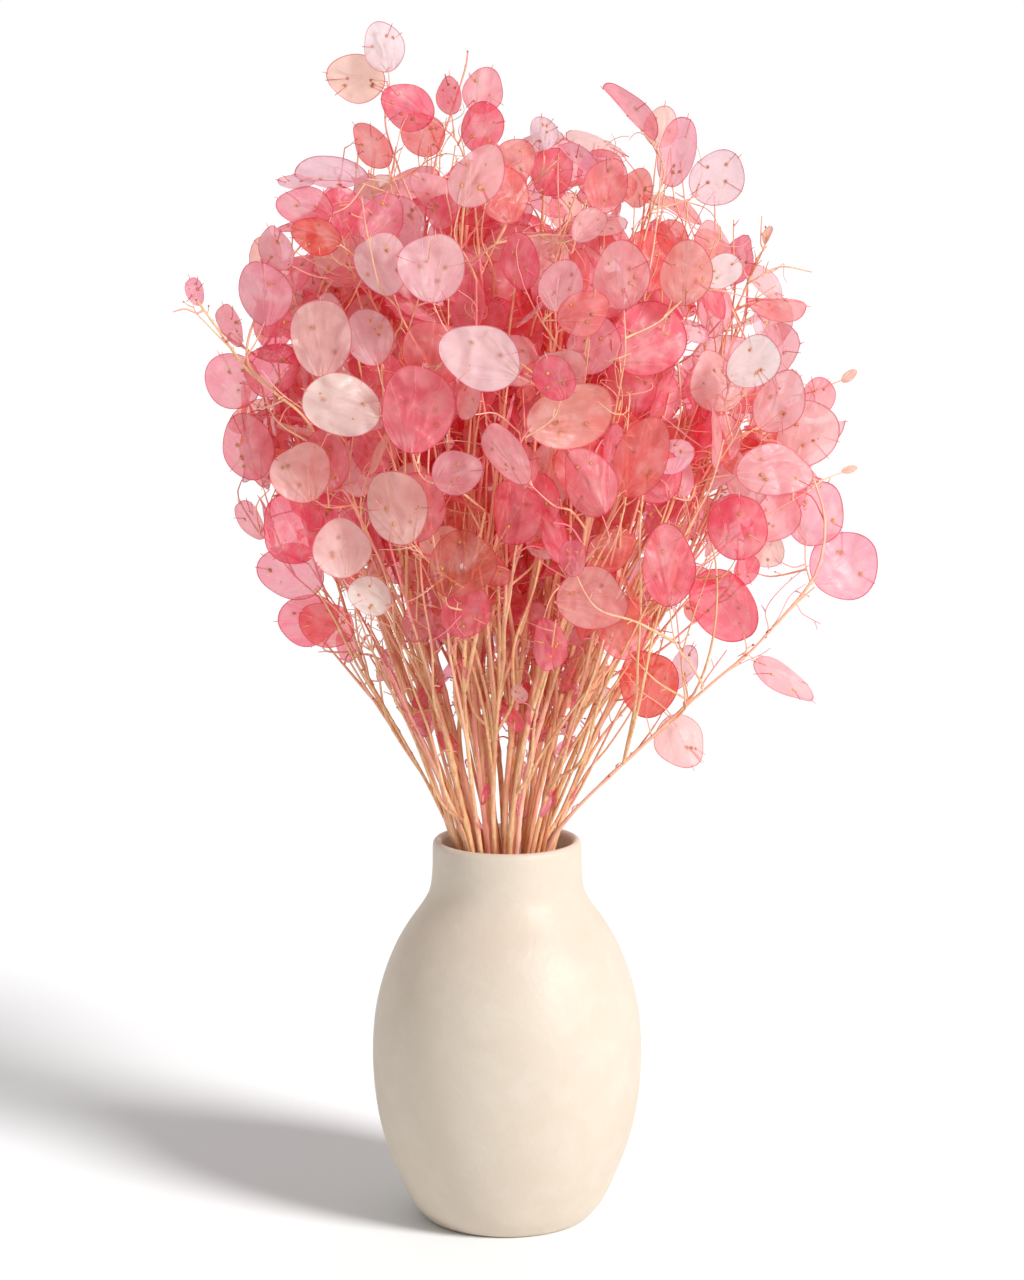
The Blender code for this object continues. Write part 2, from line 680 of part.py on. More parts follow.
def build_stem(number, bunch, material):
    """One grown stem: its own wood, and a helper with its twigs and pods that a Boolean joins to it."""
    growth = []
    for path in bunch.paths:
        if path["stem"] != number:
            continue
        if path["parent"] is None:
            verts, faces = tube(path["points"], path["radii"], STEM_SIDES)
        else:
            growth.append(tube(path["points"], path["radii"], TWIG_SIDES))
    growth += [pod_plate(pod) for pod in bunch.pods if pod["stem"] == number]
    name = f"stem_{number + 1:02d}"
    stem = add_object(name, verts, faces, material, smooth=True)
    if growth:
        helper = add_object(name + "_growth", *joined(growth), material, smooth=False)
        helper.hide_render = True
        helper.display_type = "WIRE"
        union = stem.modifiers.new("grown together", "BOOLEAN")
        union.operation = "UNION"
        union.solver = "EXACT"
        union.use_self = True
        union.object = helper


def main():
    clear_scene()
    bunch = Bunch()
    bunch.grow_stems()
    missed = bunch.grow_twigs() + bunch.show_pods()
    bunch.fill_pods()
    print(len(bunch.pods), "pods;", missed, "pods or twigs found no clear place")
    build_vase(principled("stoneware", (0.76, 0.71, 0.62), 0.6))
    dyes = [principled(name, colour, 0.5) for name, colour in DYES]
    for number in range(FAN_STEMS):
        build_stem(number, bunch, dyes[number % len(dyes)])


main()
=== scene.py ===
import json
import math
import random

import bpy
import numpy as np
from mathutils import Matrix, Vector

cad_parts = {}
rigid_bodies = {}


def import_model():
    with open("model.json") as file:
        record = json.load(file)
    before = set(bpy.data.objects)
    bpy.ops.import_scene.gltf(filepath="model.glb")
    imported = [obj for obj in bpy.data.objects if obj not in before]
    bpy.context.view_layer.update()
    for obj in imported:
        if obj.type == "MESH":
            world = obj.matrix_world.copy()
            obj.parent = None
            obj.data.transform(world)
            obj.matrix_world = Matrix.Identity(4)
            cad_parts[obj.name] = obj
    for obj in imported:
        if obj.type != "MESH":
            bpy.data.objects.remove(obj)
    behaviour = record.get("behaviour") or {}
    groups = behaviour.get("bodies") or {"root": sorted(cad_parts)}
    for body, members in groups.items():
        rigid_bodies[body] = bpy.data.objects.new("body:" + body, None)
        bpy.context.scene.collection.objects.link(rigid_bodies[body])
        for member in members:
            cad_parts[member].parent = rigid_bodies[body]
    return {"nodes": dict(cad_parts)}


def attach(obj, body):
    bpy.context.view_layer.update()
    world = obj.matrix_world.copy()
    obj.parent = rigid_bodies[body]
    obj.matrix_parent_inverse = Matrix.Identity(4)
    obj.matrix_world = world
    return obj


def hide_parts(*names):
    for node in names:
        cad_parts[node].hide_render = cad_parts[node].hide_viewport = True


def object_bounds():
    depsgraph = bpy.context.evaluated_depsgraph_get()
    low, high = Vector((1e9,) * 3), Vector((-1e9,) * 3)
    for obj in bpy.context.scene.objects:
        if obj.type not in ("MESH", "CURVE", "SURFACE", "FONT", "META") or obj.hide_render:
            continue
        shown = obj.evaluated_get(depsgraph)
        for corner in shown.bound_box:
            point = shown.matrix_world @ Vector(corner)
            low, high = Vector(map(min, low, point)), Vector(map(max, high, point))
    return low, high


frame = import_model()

cadBox = [list(corner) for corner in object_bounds()]
mm = 0.001
print("frame loaded:", len(frame["nodes"]), "solids")

# The layout works in millimetres and draws its random numbers in the same order as the solids do.
fan = {
    "seed": 11,
    "stems": 34,
    "stemRadius": 1.45,
    "tipRadius": 0.7,
    "slimmer": 0.93,  # girth near the middle of a stem, against its foot
    "outriderSlimmer": 0.62,  # girth of a stem that leaves the fan, against one that stays in it
    "girthSpread": (0.9, 1.08),
    "firstTurn": 0.4,
    "centreTop": 546.0,  # tip of a stem in the middle
    "rimDrop": 138.0,  # how much lower the outermost stems end
    "dropCurve": 2.6,  # how late the drop sets in towards the rim
    "topSpread": (-26, 14),
    "swayFrom": 215.0,  # the height where stems begin to wander
    "sway": 2.2,
    # height, half width, half depth, centre x, centre y, turn in degrees
    "levels": [
        (8.6, 21.0, 16.0, 0.0, -5.0, -40.0),
        (75.0, 18.0, 14.0, 0.0, -5.0, -28.0),
        (140.0, 18.0, 13.5, 0.0, -6.5, -14.0),
        (175.0, 22.5, 17.0, 0.0, -8.0, -4.0),
        (198.0, 27.5, 21.5, 0.0, -7.5, 0.0),
        (225.0, 38.0, 30.0, 0.0, -7.0, 3.0),
        (258.0, 54.0, 43.0, 1.0, -6.0, 7.0),
        (295.0, 73.0, 59.0, 3.0, -5.0, 11.0),
        (335.0, 91.0, 75.0, 5.0, -4.0, 15.0),
        (375.0, 106.0, 88.0, 7.0, -3.0, 18.0),
        (415.0, 118.0, 98.0, 8.0, -2.0, 21.0),
        (455.0, 127.0, 106.0, 9.0, -2.0, 23.0),
        (495.0, 133.0, 111.0, 9.0, -2.0, 25.0),
        (535.0, 137.0, 114.0, 9.0, -2.0, 26.0),
        (575.0, 139.0, 116.0, 9.0, -2.0, 27.0),
    ],
    # stems that leave the fan: the height where they do, then (right, up, y) as seen from the front
    "outriders": {
        31: (198.0, [
            (36.5, -82.5, -29), (72.5, -48.5, -42), (89.5, -33, -47), (107.5, -17.5, -51),
            (121.5, -6, -53), (132, 5, -53), (144, 17.5, -52), (154, 26.5, -50)]),
        30: (198.0, [
            (-40, -71.5, -9), (-54, -46.5, -7), (-67, -23, -4), (-79, -1, -1), (-91, 18, 2),
            (-106, 32, 4)]),
        25: (258.0, [
            (-41, -12, -42), (-56, 24, -52), (-73, 60, -62), (-88.5, 90, -68), (-101, 111, -72),
            (-115, 123, -70), (-130, 135.5, -62), (-140, 149, -56), (-150, 163, -52), (-156, 171, -50)]),
        18: (415.0, [
            (104, 136.5, -10), (112.5, 160, -14), (119, 175, -16), (125, 190, -18), (130, 197, -18)]),
        9: (455.0, [
            (-46, 209, -29), (-53.5, 234, -30), (-60, 254, -30), (-61, 268, -30)]),
        6: (455.0, [
            (-41, 208, 12), (-38, 227, 10), (-34, 246, 6), (-28, 263, 2), (-21, 285, -2),
            (-19.5, 294, -3)]),
    },
}

twigs = {
    "radius": 0.8,
    "stalkRadius": 0.28,
    "stalkFoot": (0.55, 0.006, 0.95),  # radius at the wood: the least, more for each millimetre, the most
    "stalkSpans": (13, 48),  # a stalk longer than each of these gets one more bend
    "follow": 0.55,  # how far a stalk keeps to its twig's way before it turns to the pod
    "grip": 2.5,  # how far a stalk runs into its pod
    "lowest": 235.0,
    "clearance": 0.9,
    "slides": (0, 6, -6, 12, -12, 18, -18, 26, 34),
    # twigs with no pod: places seen from the front (right, up) and y
    "bare": [
        ([(-10, 189), (-2, 205), (10, 225), (26.5, 241)], -60),
        ([(122, 179), (136.5, 186.5), (152.5, 184)], -19),
        ([(127, 199), (127.5, 212)], -20),
        ([(118, 167), (134.5, 177)], -22),
        ([(90, 28), (98, 38), (122, 57), (150, 74)], -45),
        ([(108, 92), (120, 103), (136, 113), (151, 121)], -40),
        ([(-53, -35), (-63, -12), (-84, 15), (-99, 38)], -30),
        ([(-155, 163.5), (-161, 165.5), (-167, 164)], -52),
        ([(89, -28), (84.5, 16)], -50),
        ([(98, -22), (110, -5)], -55),
        ([(-92, -4), (-78, 14)], -10),
        ([(40, 196), (38, 214), (44, 228)], -20),
        ([(-52, 212), (-58, 226), (-56, 240)], -40),
    ],
}

# the front is laid out as it is seen from sight["point"], in the plane through sight["centre"]
sight = {
    "point": np.array([0.0, -1862.0, 619.5]),
    "centre": np.array([0.0, 0.0, 298.0]),
    "domeCentre": np.array([8.0, -4.0, 425.0]),
    "domeRadii": np.array([148.0, 122.0, 166.0]),
    "layerDepth": 17.0,
}

podPlan = {
    "twist": 16.0,  # degrees
    "nod": 20.0,
    "slides": (0, 7, 14, 21, -7, 28, 35, -14, 42, 50),  # how far a pod may slide back to find a clear place
    "fillCentre": np.array([6.0, -2.0, 412.0]),
    "fillRadii": np.array([142.0, 116.0, 140.0]),
    "fillCount": 150,
    "fillTries": 60,  # for each pod
    "fillChoices": 5,  # places to choose the emptiest from
    "fillDepth": (0.35, 1.0),
    "fillLow": 298.0,
    "fillLength": (25, 38),
    "fillWidth": (0.78, 0.95),  # against the length
    "room": 1.6,  # the least way between two pods
    "hidden": 0.42,  # how near a pod may stand before another, against their lengths
    # right, up, layer behind the dome, length, width, roll from upright, turn about the length, dye
    "shown": [
        (-62, 297, 0, 26, 22, -15, 0, "pearl"),
        (-75, 281, 0, 28, 24, -80, 10, "beige"),
        (-49, 267, 0, 26, 22, -60, 0, "cerise"),
        (-42, 253, 1, 23, 21, -20, 15, "coral"),
        (-67, 247, 0, 24, 20, -40, 40, "coral"),
        (-12, 274, 0, 21, 20, 20, 0, "pink"),
        (-28, 272, 1, 18, 15, 0, 20, "rose"),
        (-12, 256, 0, 24, 22, 10, 15, "cerise"),
        (-15, 232, 0, 33, 26, 25, 10, "blush"),
        (-2, 223, 1, 30, 25, -10, -10, "salmon"),
        (-87, 232, 0, 34, 27, -85, 55, "blush"),
        (-105, 230, 0, 18, 12, -90, 60, "blush"),
        (-100, 216, 0, 26, 22, -70, 15, "pink"),
        (-83, 213, 1, 25, 24, 0, 0, "rose"),
        (-95, 202, 0, 24, 18, -80, 25, "rust"),
        (-63, 210, 1, 25, 21, 40, 10, "pink"),
        (-114, 196, 0, 22, 20, -30, 25, "bubblegum"),
        (-109, 184, 1, 27, 20, -120, 40, "pink"),
        (-122, 173, 0, 32, 27, 0, 10, "bubblegum"),
        (-64, 188, 0, 32, 26, -30, 25, "shell"),
        (-37, 186, 0, 34, 31, 5, 0, "blush"),
        (-32, 214, 1, 17, 15, 20, 20, "rose"),
        (7, 189, 1, 27, 22, 0, 20, "rose"),
        (-93, 151, 0, 37, 30, 0, 10, "shell"),
        (-82, 118, 0, 38, 30, -68, 5, "ivory"),
        (-45, 115, 0, 41, 35, 8, 5, "mauve"),
        (-12, 141, 0, 37, 31, -62, 10, "pearl"),
        (-36, 144, 1, 34, 30, 0, 0, "salmon"),
        (-136, 130, 0, 28, 27, -30, 0, "pink"),
        (-118, 135, 1, 28, 26, 20, 10, "rose"),
        (-129, 96, 0, 32, 26, -15, 5, "pink"),
        (-103, 84, 0, 30, 29, -20, 0, "beige"),
        (-90, 90, 1, 31, 23, 0, 20, "pink"),
        (-55, 66, 0, 36, 30, -18, 5, "shell"),
        (-46, 66, 1, 34, 28, 10, 10, "pink"),
        (-25, 84, 0, 25, 22, 60, 10, "bubblegum"),
        (0, 93, 0, 34, 26, -38, 48, "bubblegum"),
        (-68, 151, 1, 27, 23, -15, 15, "blush"),
        (-117, 158, 1, 26, 20, 0, 15, "rose"),
        (-138, 157, 0, 22, 16, -20, 50, "pink"),
        (-62, 132, 2, 22, 20, 0, 0, "rose"),
        (-107, 55, 0, 35, 32, -30, 5, "cerise"),
        (-82, 46, 0, 30, 29, -10, 0, "shell"),
        (-107, 34, 1, 32, 28, -60, 10, "pink"),
        (-68, 22, 0, 22, 19, -60, 10, "ivory"),
        (-99, 10, 0, 31, 27, -85, 5, "rose"),
        (-90, 8, 1, 28, 25, -60, 15, "coral"),
        (-128, 60, 0, 22, 16, -30, 50, "pink"),
        (-23, 37, 0, 34, 30, 30, 5, "smoke"),
        (-84, 64, 2, 24, 21, 0, 0, "rose"),
        (57, 182, 0, 32, 29, -10, 5, "bubblegum"),
        (71, 150, 0, 38, 35, 60, 0, "mauve"),
        (32, 112, 0, 43, 31, 80, 0, "dusty"),
        (67, 90, 0, 38, 29, 35, 10, "salmon"),
        (40, 78, 0, 33, 26, -30, 10, "pink"),
        (24, 132, 0, 24, 22, -20, 10, "rose"),
        (38, 163, 0, 24, 21, 75, 10, "salmon"),
        (27, 177, 1, 26, 22, 0, 10, "blush"),
        (90, 183, 0, 30, 25, 10, 10, "dusty"),
        (108, 184, 0, 20, 16, 60, 20, "ivory"),
        (169, 38, 0, 36, 35, 60, 0, "bubblegum"),
        (154, 62, 0, 31, 30, 20, 10, "bubblegum"),
        (116, 56, 0, 31, 30, 0, 5, "rose"),
        (134, 85, 0, 39, 26, 80, 10, "blush"),
        (150, 103, 0, 34, 31, 20, 10, "shell"),
        (137, 119, 1, 33, 27, 40, 15, "blush"),
        (155, 121, 1, 21, 17, 30, 10, "pink"),
        (123, 139, 0, 28, 25, 60, 20, "ivory"),
        (135, 169, 0, 29, 18, 100, 50, "salmon"),
        (62, 127, 1, 30, 25, 0, 10, "rose"),
        (110, 18, 0, 40, 32, -25, 5, "cerise"),
        (81, 36, 0, 37, 26, 0, 5, "mauve"),
        (43, 21, 0, 36, 30, 85, 0, "dusty"),
        (52, 44, 1, 25, 20, 60, 10, "salmon"),
        (71, -21, 0, 37, 29, 10, 15, "rust"),
        (88, -14, 0, 23, 16, 20, 40, "blush"),
        (87, -50, 0, 28, 26, 160, 5, "blush"),
        (138, -20, 0, 34, 22, 125, 50, "bubblegum"),
        (33, 41, 0, 18, 14, -10, 20, "pink"),
        (20, -2, 1, 26, 18, 160, 20, "rose"),
        (61, 263, 0, 35, 24, -45, 68, "pink"),
        (86, 244, 0, 34, 20, 12, 25, "airyPink"),
        (105, 231, 0, 28, 26, 45, 5, "airy"),
        (77, 256, 1, 19, 17, 10, 0, "beige"),
        (50, 227, 0, 26, 20, 10, 10, "salmon"),
        (41, 207, 0, 20, 14, 40, 20, "blush"),
        (36, 240, 0, 25, 18, -45, 60, "bubblegum"),
        (18, 253, 0, 16, 14, 0, 10, "pearl"),
        (23, 234, 1, 24, 21, 30, 10, "rose"),
        (4, 239, 1, 22, 19, 0, 10, "salmon"),
        (66, 226, 1, 19, 16, 20, 15, "salmon"),
        (83, 200, 0, 20, 16, -20, 30, "coral"),
        (-156, 174, 0, 14, 9, -20, 20, "pink"),
        (131, 202, 0, 9, 5, 10, 20, "straw"),
        (171, 132, 0, 9, 5, 50, 20, "straw"),
        (171, 85, 0, 8, 4, 70, 20, "straw"),
    ],
}


def unit(v):
    return v / np.linalg.norm(v)


def between(points, perSpan):
    # The points, with perSpan - 1 more put evenly between each two.
    p = np.asarray(points, float)
    share = np.arange(perSpan)[None, :, None] / perSpan
    steps = p[:-1, None] + (p[1:] - p[:-1])[:, None] * share
    return np.vstack([steps.reshape(-1, 3), p[-1:]])


def swept(start, first, second, end, count):
    # Points on the curve from start to end that is drawn towards the two places between them.
    t = np.linspace(0, 1, count)[:, None]
    return start * (1 - t) ** 3 + first * 3 * t * (1 - t) ** 2 + second * 3 * t * t * (1 - t) + end * t**3


def turnedFrame(axis, hint):
    # Two unit vectors square to axis, the first as near hint as it can be.
    first = hint - axis * (hint @ axis)
    if np.linalg.norm(first) < 1e-3:
        first = np.cross(axis, [0.3, 0.8, 0.5])
    first = unit(first)
    return first, np.cross(axis, first)


class Bunch:
    # Where every stem, twig and pod goes. Wood is straight lengths with a radius, a pod a flat round disc.

    def __init__(self):
        self.rng = random.Random(fan["seed"])
        self.paths = []  # {"stem", "parent", "points", "radii"}
        self.pods = []  # {"stem", "centre", "normal", "up", "length", "width"}
        self.starts, self.ends = np.zeros((0, 3)), np.zeros((0, 3))
        self.thick, self.owner = np.zeros(0), np.zeros(0, int)

    def addPath(self, stem, parent, points, radii):
        points, radii = np.asarray(points, float), np.asarray(radii, float)
        self.paths.append({"stem": stem, "parent": parent, "points": points, "radii": radii})
        self.starts = np.vstack([self.starts, points[:-1]])
        self.ends = np.vstack([self.ends, points[1:]])
        self.thick = np.append(self.thick, np.maximum(radii[:-1], radii[1:]))
        self.owner = np.append(self.owner, np.full(len(points) - 1, len(self.paths) - 1))

    def woodClear(self, points, radius, skip):
        # True if a run of straight lengths keeps off all wood but the path it grows from.
        other = self.owner != skip
        a, b, r = self.starts[other], self.ends[other], self.thick[other]
        for p, q in zip(points[:-1], points[1:]):
            if (segmentGaps(p, q, a, b) < r + radius + twigs["clearance"]).any():
                return False
        return True

    def discClearOfWood(self, centre, normal, radius):
        # True if no wood touches the disc.
        near = np.linalg.norm((self.starts + self.ends) / 2 - centre, axis=1) < radius + 45
        a, b, r = self.starts[near] - centre, self.ends[near] - centre, self.thick[near]
        for share in np.linspace(0, 1, 9):
            p = a + (b - a) * share
            high = p @ normal
            flat = np.linalg.norm(p - np.outer(high, normal), axis=1)
            if ((np.abs(high) < r + twigs["clearance"]) & (flat < radius + r + twigs["clearance"])).any():
                return False
        ha, hb = a @ normal, b @ normal
        cross = ha * hb < 0
        share = ha[cross] / (ha[cross] - hb[cross])
        at = a[cross] + (b[cross] - a[cross]) * share[:, None]
        return not (np.linalg.norm(at, axis=1) < radius + r[cross] + twigs["clearance"]).any()

    def pathClearOfDiscs(self, points, radius):
        for pod in self.pods:
            if np.linalg.norm(points - pod["centre"], axis=1).min() > pod["length"] / 2 + 40:
                continue
            reach = pod["length"] / 2 + radius + twigs["clearance"]
            fine = between(points, 5) - pod["centre"]
            high = fine @ pod["normal"]
            flat = np.linalg.norm(fine - np.outer(high, pod["normal"]), axis=1)
            if ((np.abs(high) < radius + twigs["clearance"]) & (flat < reach)).any():
                return False
            crossing = (high[1:] * high[:-1] < 0) & (flat[1:] < reach) & (flat[:-1] < reach)
            if crossing.any():
                return False
        return True

    def discClearOfDiscs(self, centre, normal, radius):
        for pod in self.pods:
            gap = np.linalg.norm(pod["centre"] - centre)
            if gap < radius + pod["length"] / 2 + twigs["clearance"] and discsMeet(
                centre, normal, radius, pod["centre"], pod["normal"], pod["length"] / 2
            ):
                return False
        return True

    def growStems(self):
        # The main stems: a sunflower pattern of points in the mouth, carried up and down by the fan.
        for number in range(fan["stems"]):
            ring = math.sqrt((number + 0.5) / fan["stems"])
            angle = number * math.pi * (3 - math.sqrt(5)) + fan["firstTurn"]
            drop = fan["rimDrop"] * ring ** fan["dropCurve"]
            top = fan["centreTop"] - drop + self.rng.uniform(*fan["topSpread"])
            leavesAt, wayOut = fan["outriders"].get(number, (top, []))
            points = []
            for height, wide, deep, x, y, turn in fan["levels"]:
                if height > min(top + 12, leavesAt):
                    break
                a = angle + math.radians(turn)
                sway = max(0.0, height - fan["swayFrom"]) / 100.0
                right = x + wide * ring * math.cos(a) + self.rng.uniform(-fan["sway"], fan["sway"]) * sway
                back = y + deep * ring * math.sin(a) + self.rng.uniform(-fan["sway"], fan["sway"]) * sway
                points.append((right, back, height))
            self.addStem(points, [seenAt(*place) for place in wayOut])

    def addStem(self, inner, outer):
        points = inner + outer
        girths = [fan["stemRadius"], fan["stemRadius"] * fan["slimmer"], fan["tipRadius"]]
        radii = np.interp(np.linspace(0, 1, len(points)), [0, 0.45, 1], girths)
        radii[len(inner) :] *= fan["outriderSlimmer"]
        stem = sum(1 for path in self.paths if path["parent"] is None)
        self.addPath(stem, None, points, radii * self.rng.uniform(*fan["girthSpread"]))

    def carriers(self, base, reach, steepest, least=7.0):
        # Places on the wood that a pod's stalk could grow from. The first is near, points at the pod and
        # belongs to a stem that carries few.
        found = []
        load = np.bincount(np.array([pod["stem"] for pod in self.pods], int), minlength=fan["stems"])
        for index, path in enumerate(self.paths):
            line = between(path["points"], 4)
            tangents = np.gradient(line, axis=0)
            tangents /= np.linalg.norm(tangents, axis=1)[:, None]
            rise = base - line
            length = np.linalg.norm(rise, axis=1)
            forward = (rise * tangents).sum(1) / np.maximum(length, 1e-6)
            fits = (length < reach) & (length > least) & (forward > steepest) & (line[:, 2] > twigs["lowest"])
            if path["parent"] is not None:
                fits[:3] = False
            for at in np.flatnonzero(fits):
                cost = length[at] * (1.8 - 0.8 * forward[at]) * (1 + 0.05 * load[path["stem"]])
                found.append((cost, index, line[at], tangents[at]))
        return sorted(found, key=lambda item: item[0])

    def hang(self, centre, normal, up, length, width, reach, tries=14, steepest=0.15):
        # Grows a stalk from the nearest wood to the pod's base. True if there was a clear way.
        if not self.discClearOfDiscs(centre, normal, length / 2):
            return False
        if not self.discClearOfWood(centre, normal, length / 2):
            return False
        base = centre - up * length / 2
        for _, index, start, tangent in self.carriers(base, reach, steepest)[:tries]:
            away = base - start
            run = np.linalg.norm(away)
            if away @ up < 0.1 * run:
                continue
            leave = unit(tangent * twigs["follow"] + away / run)
            bends = sum(run >= limit for limit in twigs["stalkSpans"])
            line = swept(start, start + leave * run * 0.4, base - up * run * 0.33, base, bends + 2)
            least, more, most = twigs["stalkFoot"]
            thick = min(most, least + more * run)
            if self.woodClear(line, thick, index) and self.pathClearOfDiscs(line, thick):
                radii = np.linspace(thick, twigs["stalkRadius"], len(line))
                line[-1] += up * twigs["grip"]
                stem = self.paths[index]["stem"]
                self.addPath(stem, index, line, radii)
                pod = {"stem": stem, "centre": centre, "normal": normal, "up": up}
                self.pods.append({**pod, "length": length, "width": width})
                return True
        return False

    def growTwigs(self):
        # The twigs with no pod, each slid back until it is clear.
        for places, y in twigs["bare"]:
            for push in twigs["slides"]:
                points = np.array([seenAt(right, up, y + push) for right, up in places])
                if self.growTwig(points):
                    break

    def growTwig(self, points):
        for _, index, start, _ in self.carriers(points[0], reach=40, steepest=-0.2, least=1.5)[:8]:
            line = np.vstack([start, points])
            if self.woodClear(line, twigs["radius"], index) and self.pathClearOfDiscs(line, twigs["radius"]):
                radii = np.linspace(twigs["radius"], twigs["radius"] * 0.5, len(line))
                self.addPath(self.paths[index]["stem"], index, line, radii)
                return True
        return False

    def showPods(self):
        # The pods on the viewer's side. Each slides back from the dome until it and its stalk are clear.
        ahead = unit(sight["centre"] - sight["point"])
        right = np.array([1.0, 0.0, 0.0])
        above = np.cross(right, ahead)
        for x, y, layer, length, width, roll, turn, _ in podPlan["shown"]:
            gaze = unit(sight["centre"] + right * x + above * y - sight["point"])
            start = domeDistance(gaze) + layer * sight["layerDepth"]
            across = unit(np.cross(gaze, above))
            upright = np.cross(across, gaze)
            a, b = math.radians(roll), math.radians(turn)
            up = upright * math.cos(a) + across * math.sin(a)
            side = np.cross(up, gaze)
            loose = 1.0 if turn < 30 else 0.2
            b += math.radians(self.rng.uniform(-podPlan["twist"], podPlan["twist"])) * loose
            normal = unit(-gaze * math.cos(b) + side * math.sin(b))
            nod = math.tan(math.radians(self.rng.uniform(-podPlan["nod"], podPlan["nod"]))) * loose
            up, normal = unit(up + normal * nod), unit(normal - up * nod)
            for push in podPlan["slides"]:
                centre = sight["point"] + gaze * (start + push)
                if self.hang(centre, normal, up, length, width, reach=125, tries=40):
                    break

    def fillPods(self):
        # The pods that fill the bunch and its far side, spread evenly and kept behind those shown.
        def anyStep():
            return np.array([self.rng.gauss(0, 1) for _ in range(3)])

        shown = len(self.pods)
        made = 0
        for _ in range(podPlan["fillCount"] * podPlan["fillTries"]):
            if made == podPlan["fillCount"]:
                break
            best, bestGap = None, -1.0
            for _ in range(podPlan["fillChoices"]):
                way = unit(anyStep())
                out = self.rng.uniform(*podPlan["fillDepth"]) ** 0.6
                spot = podPlan["fillCentre"] + way * podPlan["fillRadii"] * out
                gap = min((np.linalg.norm(spot - pod["centre"]) for pod in self.pods), default=99)
                if gap > bestGap:
                    best, bestGap, bestWay = spot, gap, way
            length = self.rng.uniform(*podPlan["fillLength"])
            width = length * self.rng.uniform(*podPlan["fillWidth"])
            normal = unit(bestWay + 0.45 * anyStep())
            up = turnedFrame(normal, anyStep() + (0, 0, 1.2) + bestWay * 0.6)[0]
            if best[2] < podPlan["fillLow"] or self.hidesAShownPod(best, length, shown):
                continue
            made += self.hang(best, normal, up, length, width, reach=75, tries=10, steepest=0.3)

    def hidesAShownPod(self, centre, length, shown):
        # True if the spot lies before one of the shown pods for the viewer.
        mine = np.linalg.norm(centre - sight["point"])
        gaze = (centre - sight["point"]) / mine
        for pod in self.pods[:shown]:
            far = np.linalg.norm(pod["centre"] - sight["point"])
            aside = np.linalg.norm(np.cross(pod["centre"] - sight["point"], gaze))
            if mine < far and aside < podPlan["hidden"] * (length + pod["length"]):
                return True
        return False


def seenAt(right, up, y):
    # The point that is seen at right, up and lies at y.
    ahead = unit(sight["centre"] - sight["point"])
    across = np.array([1.0, 0.0, 0.0])
    gaze = sight["centre"] + across * right + np.cross(across, ahead) * up - sight["point"]
    return sight["point"] + gaze * (y - sight["point"][1]) / gaze[1]


def domeDistance(gaze):
    # How far along a gaze line the dome of the bunch is, or its middle where the line passes beside it.
    origin = (sight["point"] - sight["domeCentre"]) / sight["domeRadii"]
    way = gaze / sight["domeRadii"]
    a, b, c = way @ way, origin @ way, origin @ origin - 1
    inside = b * b - a * c
    return (-b - math.sqrt(max(inside, 0.0))) / a


def segmentGaps(p, q, starts, ends):
    # Distance from the segment p-q to each segment of starts-ends.
    d1, d2, r = q - p, ends - starts, p - starts
    a, e = d1 @ d1, (d2 * d2).sum(1)
    f, c, b = (d2 * r).sum(1), r @ d1, d2 @ d1
    denominator = np.maximum(a * e - b * b, 1e-9)
    s = np.clip((b * f - c * e) / denominator, 0, 1)
    t = np.clip((b * s + f) / e, 0, 1)
    s = np.clip((b * t - c) / a, 0, 1)
    return np.linalg.norm(r + s[:, None] * d1 - t[:, None] * d2, axis=1)


def discsMeet(c1, n1, r1, c2, n2, r2):
    # True if two flat discs touch, with room left for their thickness.
    line = np.cross(n1, n2)
    tilt = np.linalg.norm(line)
    apart = c2 - c1
    room = podPlan["room"]
    if tilt < 0.12:
        return abs(apart @ n1) < room + tilt * (r1 + r2) / 2
    line /= tilt
    room /= tilt
    spans = []
    for centre, normal, otherCentre, otherNormal, radius in ((c1, n1, c2, n2, r1), (c2, n2, c1, n1, r2)):
        inward = np.cross(normal, line)
        offset = ((otherCentre - centre) @ otherNormal) / (inward @ otherNormal)
        half = (radius + room) ** 2 - offset**2
        if half <= 0:
            return False
        middle = (centre - c1) @ line
        spans.append((middle - math.sqrt(half), middle + math.sqrt(half)))
    return spans[0][0] < spans[1][1] and spans[1][0] < spans[0][1]


def linear(red, green, blue):
    # A colour picked on screen, 0-255, as the light values that shaders use.
    return tuple(((c / 255 + 0.055) / 1.055) ** 2.4 if c > 10 else c / 3294.6 for c in (red, green, blue))


def curved(points, perSpan):
    # A smooth line through the points.
    p = np.asarray(points, float)
    p = np.vstack([2 * p[0] - p[1], p, 2 * p[-1] - p[-2]])
    a, b, c, d = (part[:, None] for part in (p[:-3], p[1:-2], p[2:-1], p[3:]))
    t = (np.arange(perSpan) / perSpan)[None, :, None]
    line = 2 * b + (c - a) * t + (2 * a - 5 * b + 4 * c - d) * t**2 + (3 * b - a - 3 * c + d) * t**3
    return np.vstack([line.reshape(-1, 3) / 2, p[-2]])


def addNode(tree, kind, inputs=None, **settings):
    made = tree.nodes.new(kind)
    made.location = (190 * (len(tree.nodes) % 12), -240 * (len(tree.nodes) // 12))
    for name, value in settings.items():
        setattr(made, name, value)
    for key, value in (inputs or {}).items():
        if isinstance(value, bpy.types.NodeSocket):
            tree.links.new(value, made.inputs[key])
        else:
            made.inputs[key].default_value = value
    return made


def maths(tree, operation, *values, clamp=False):
    made = addNode(tree, "ShaderNodeMath", dict(enumerate(values)), operation=operation, use_clamp=clamp)
    return made.outputs[0]


def times(tree, first, second):
    return maths(tree, "MULTIPLY", first, second)


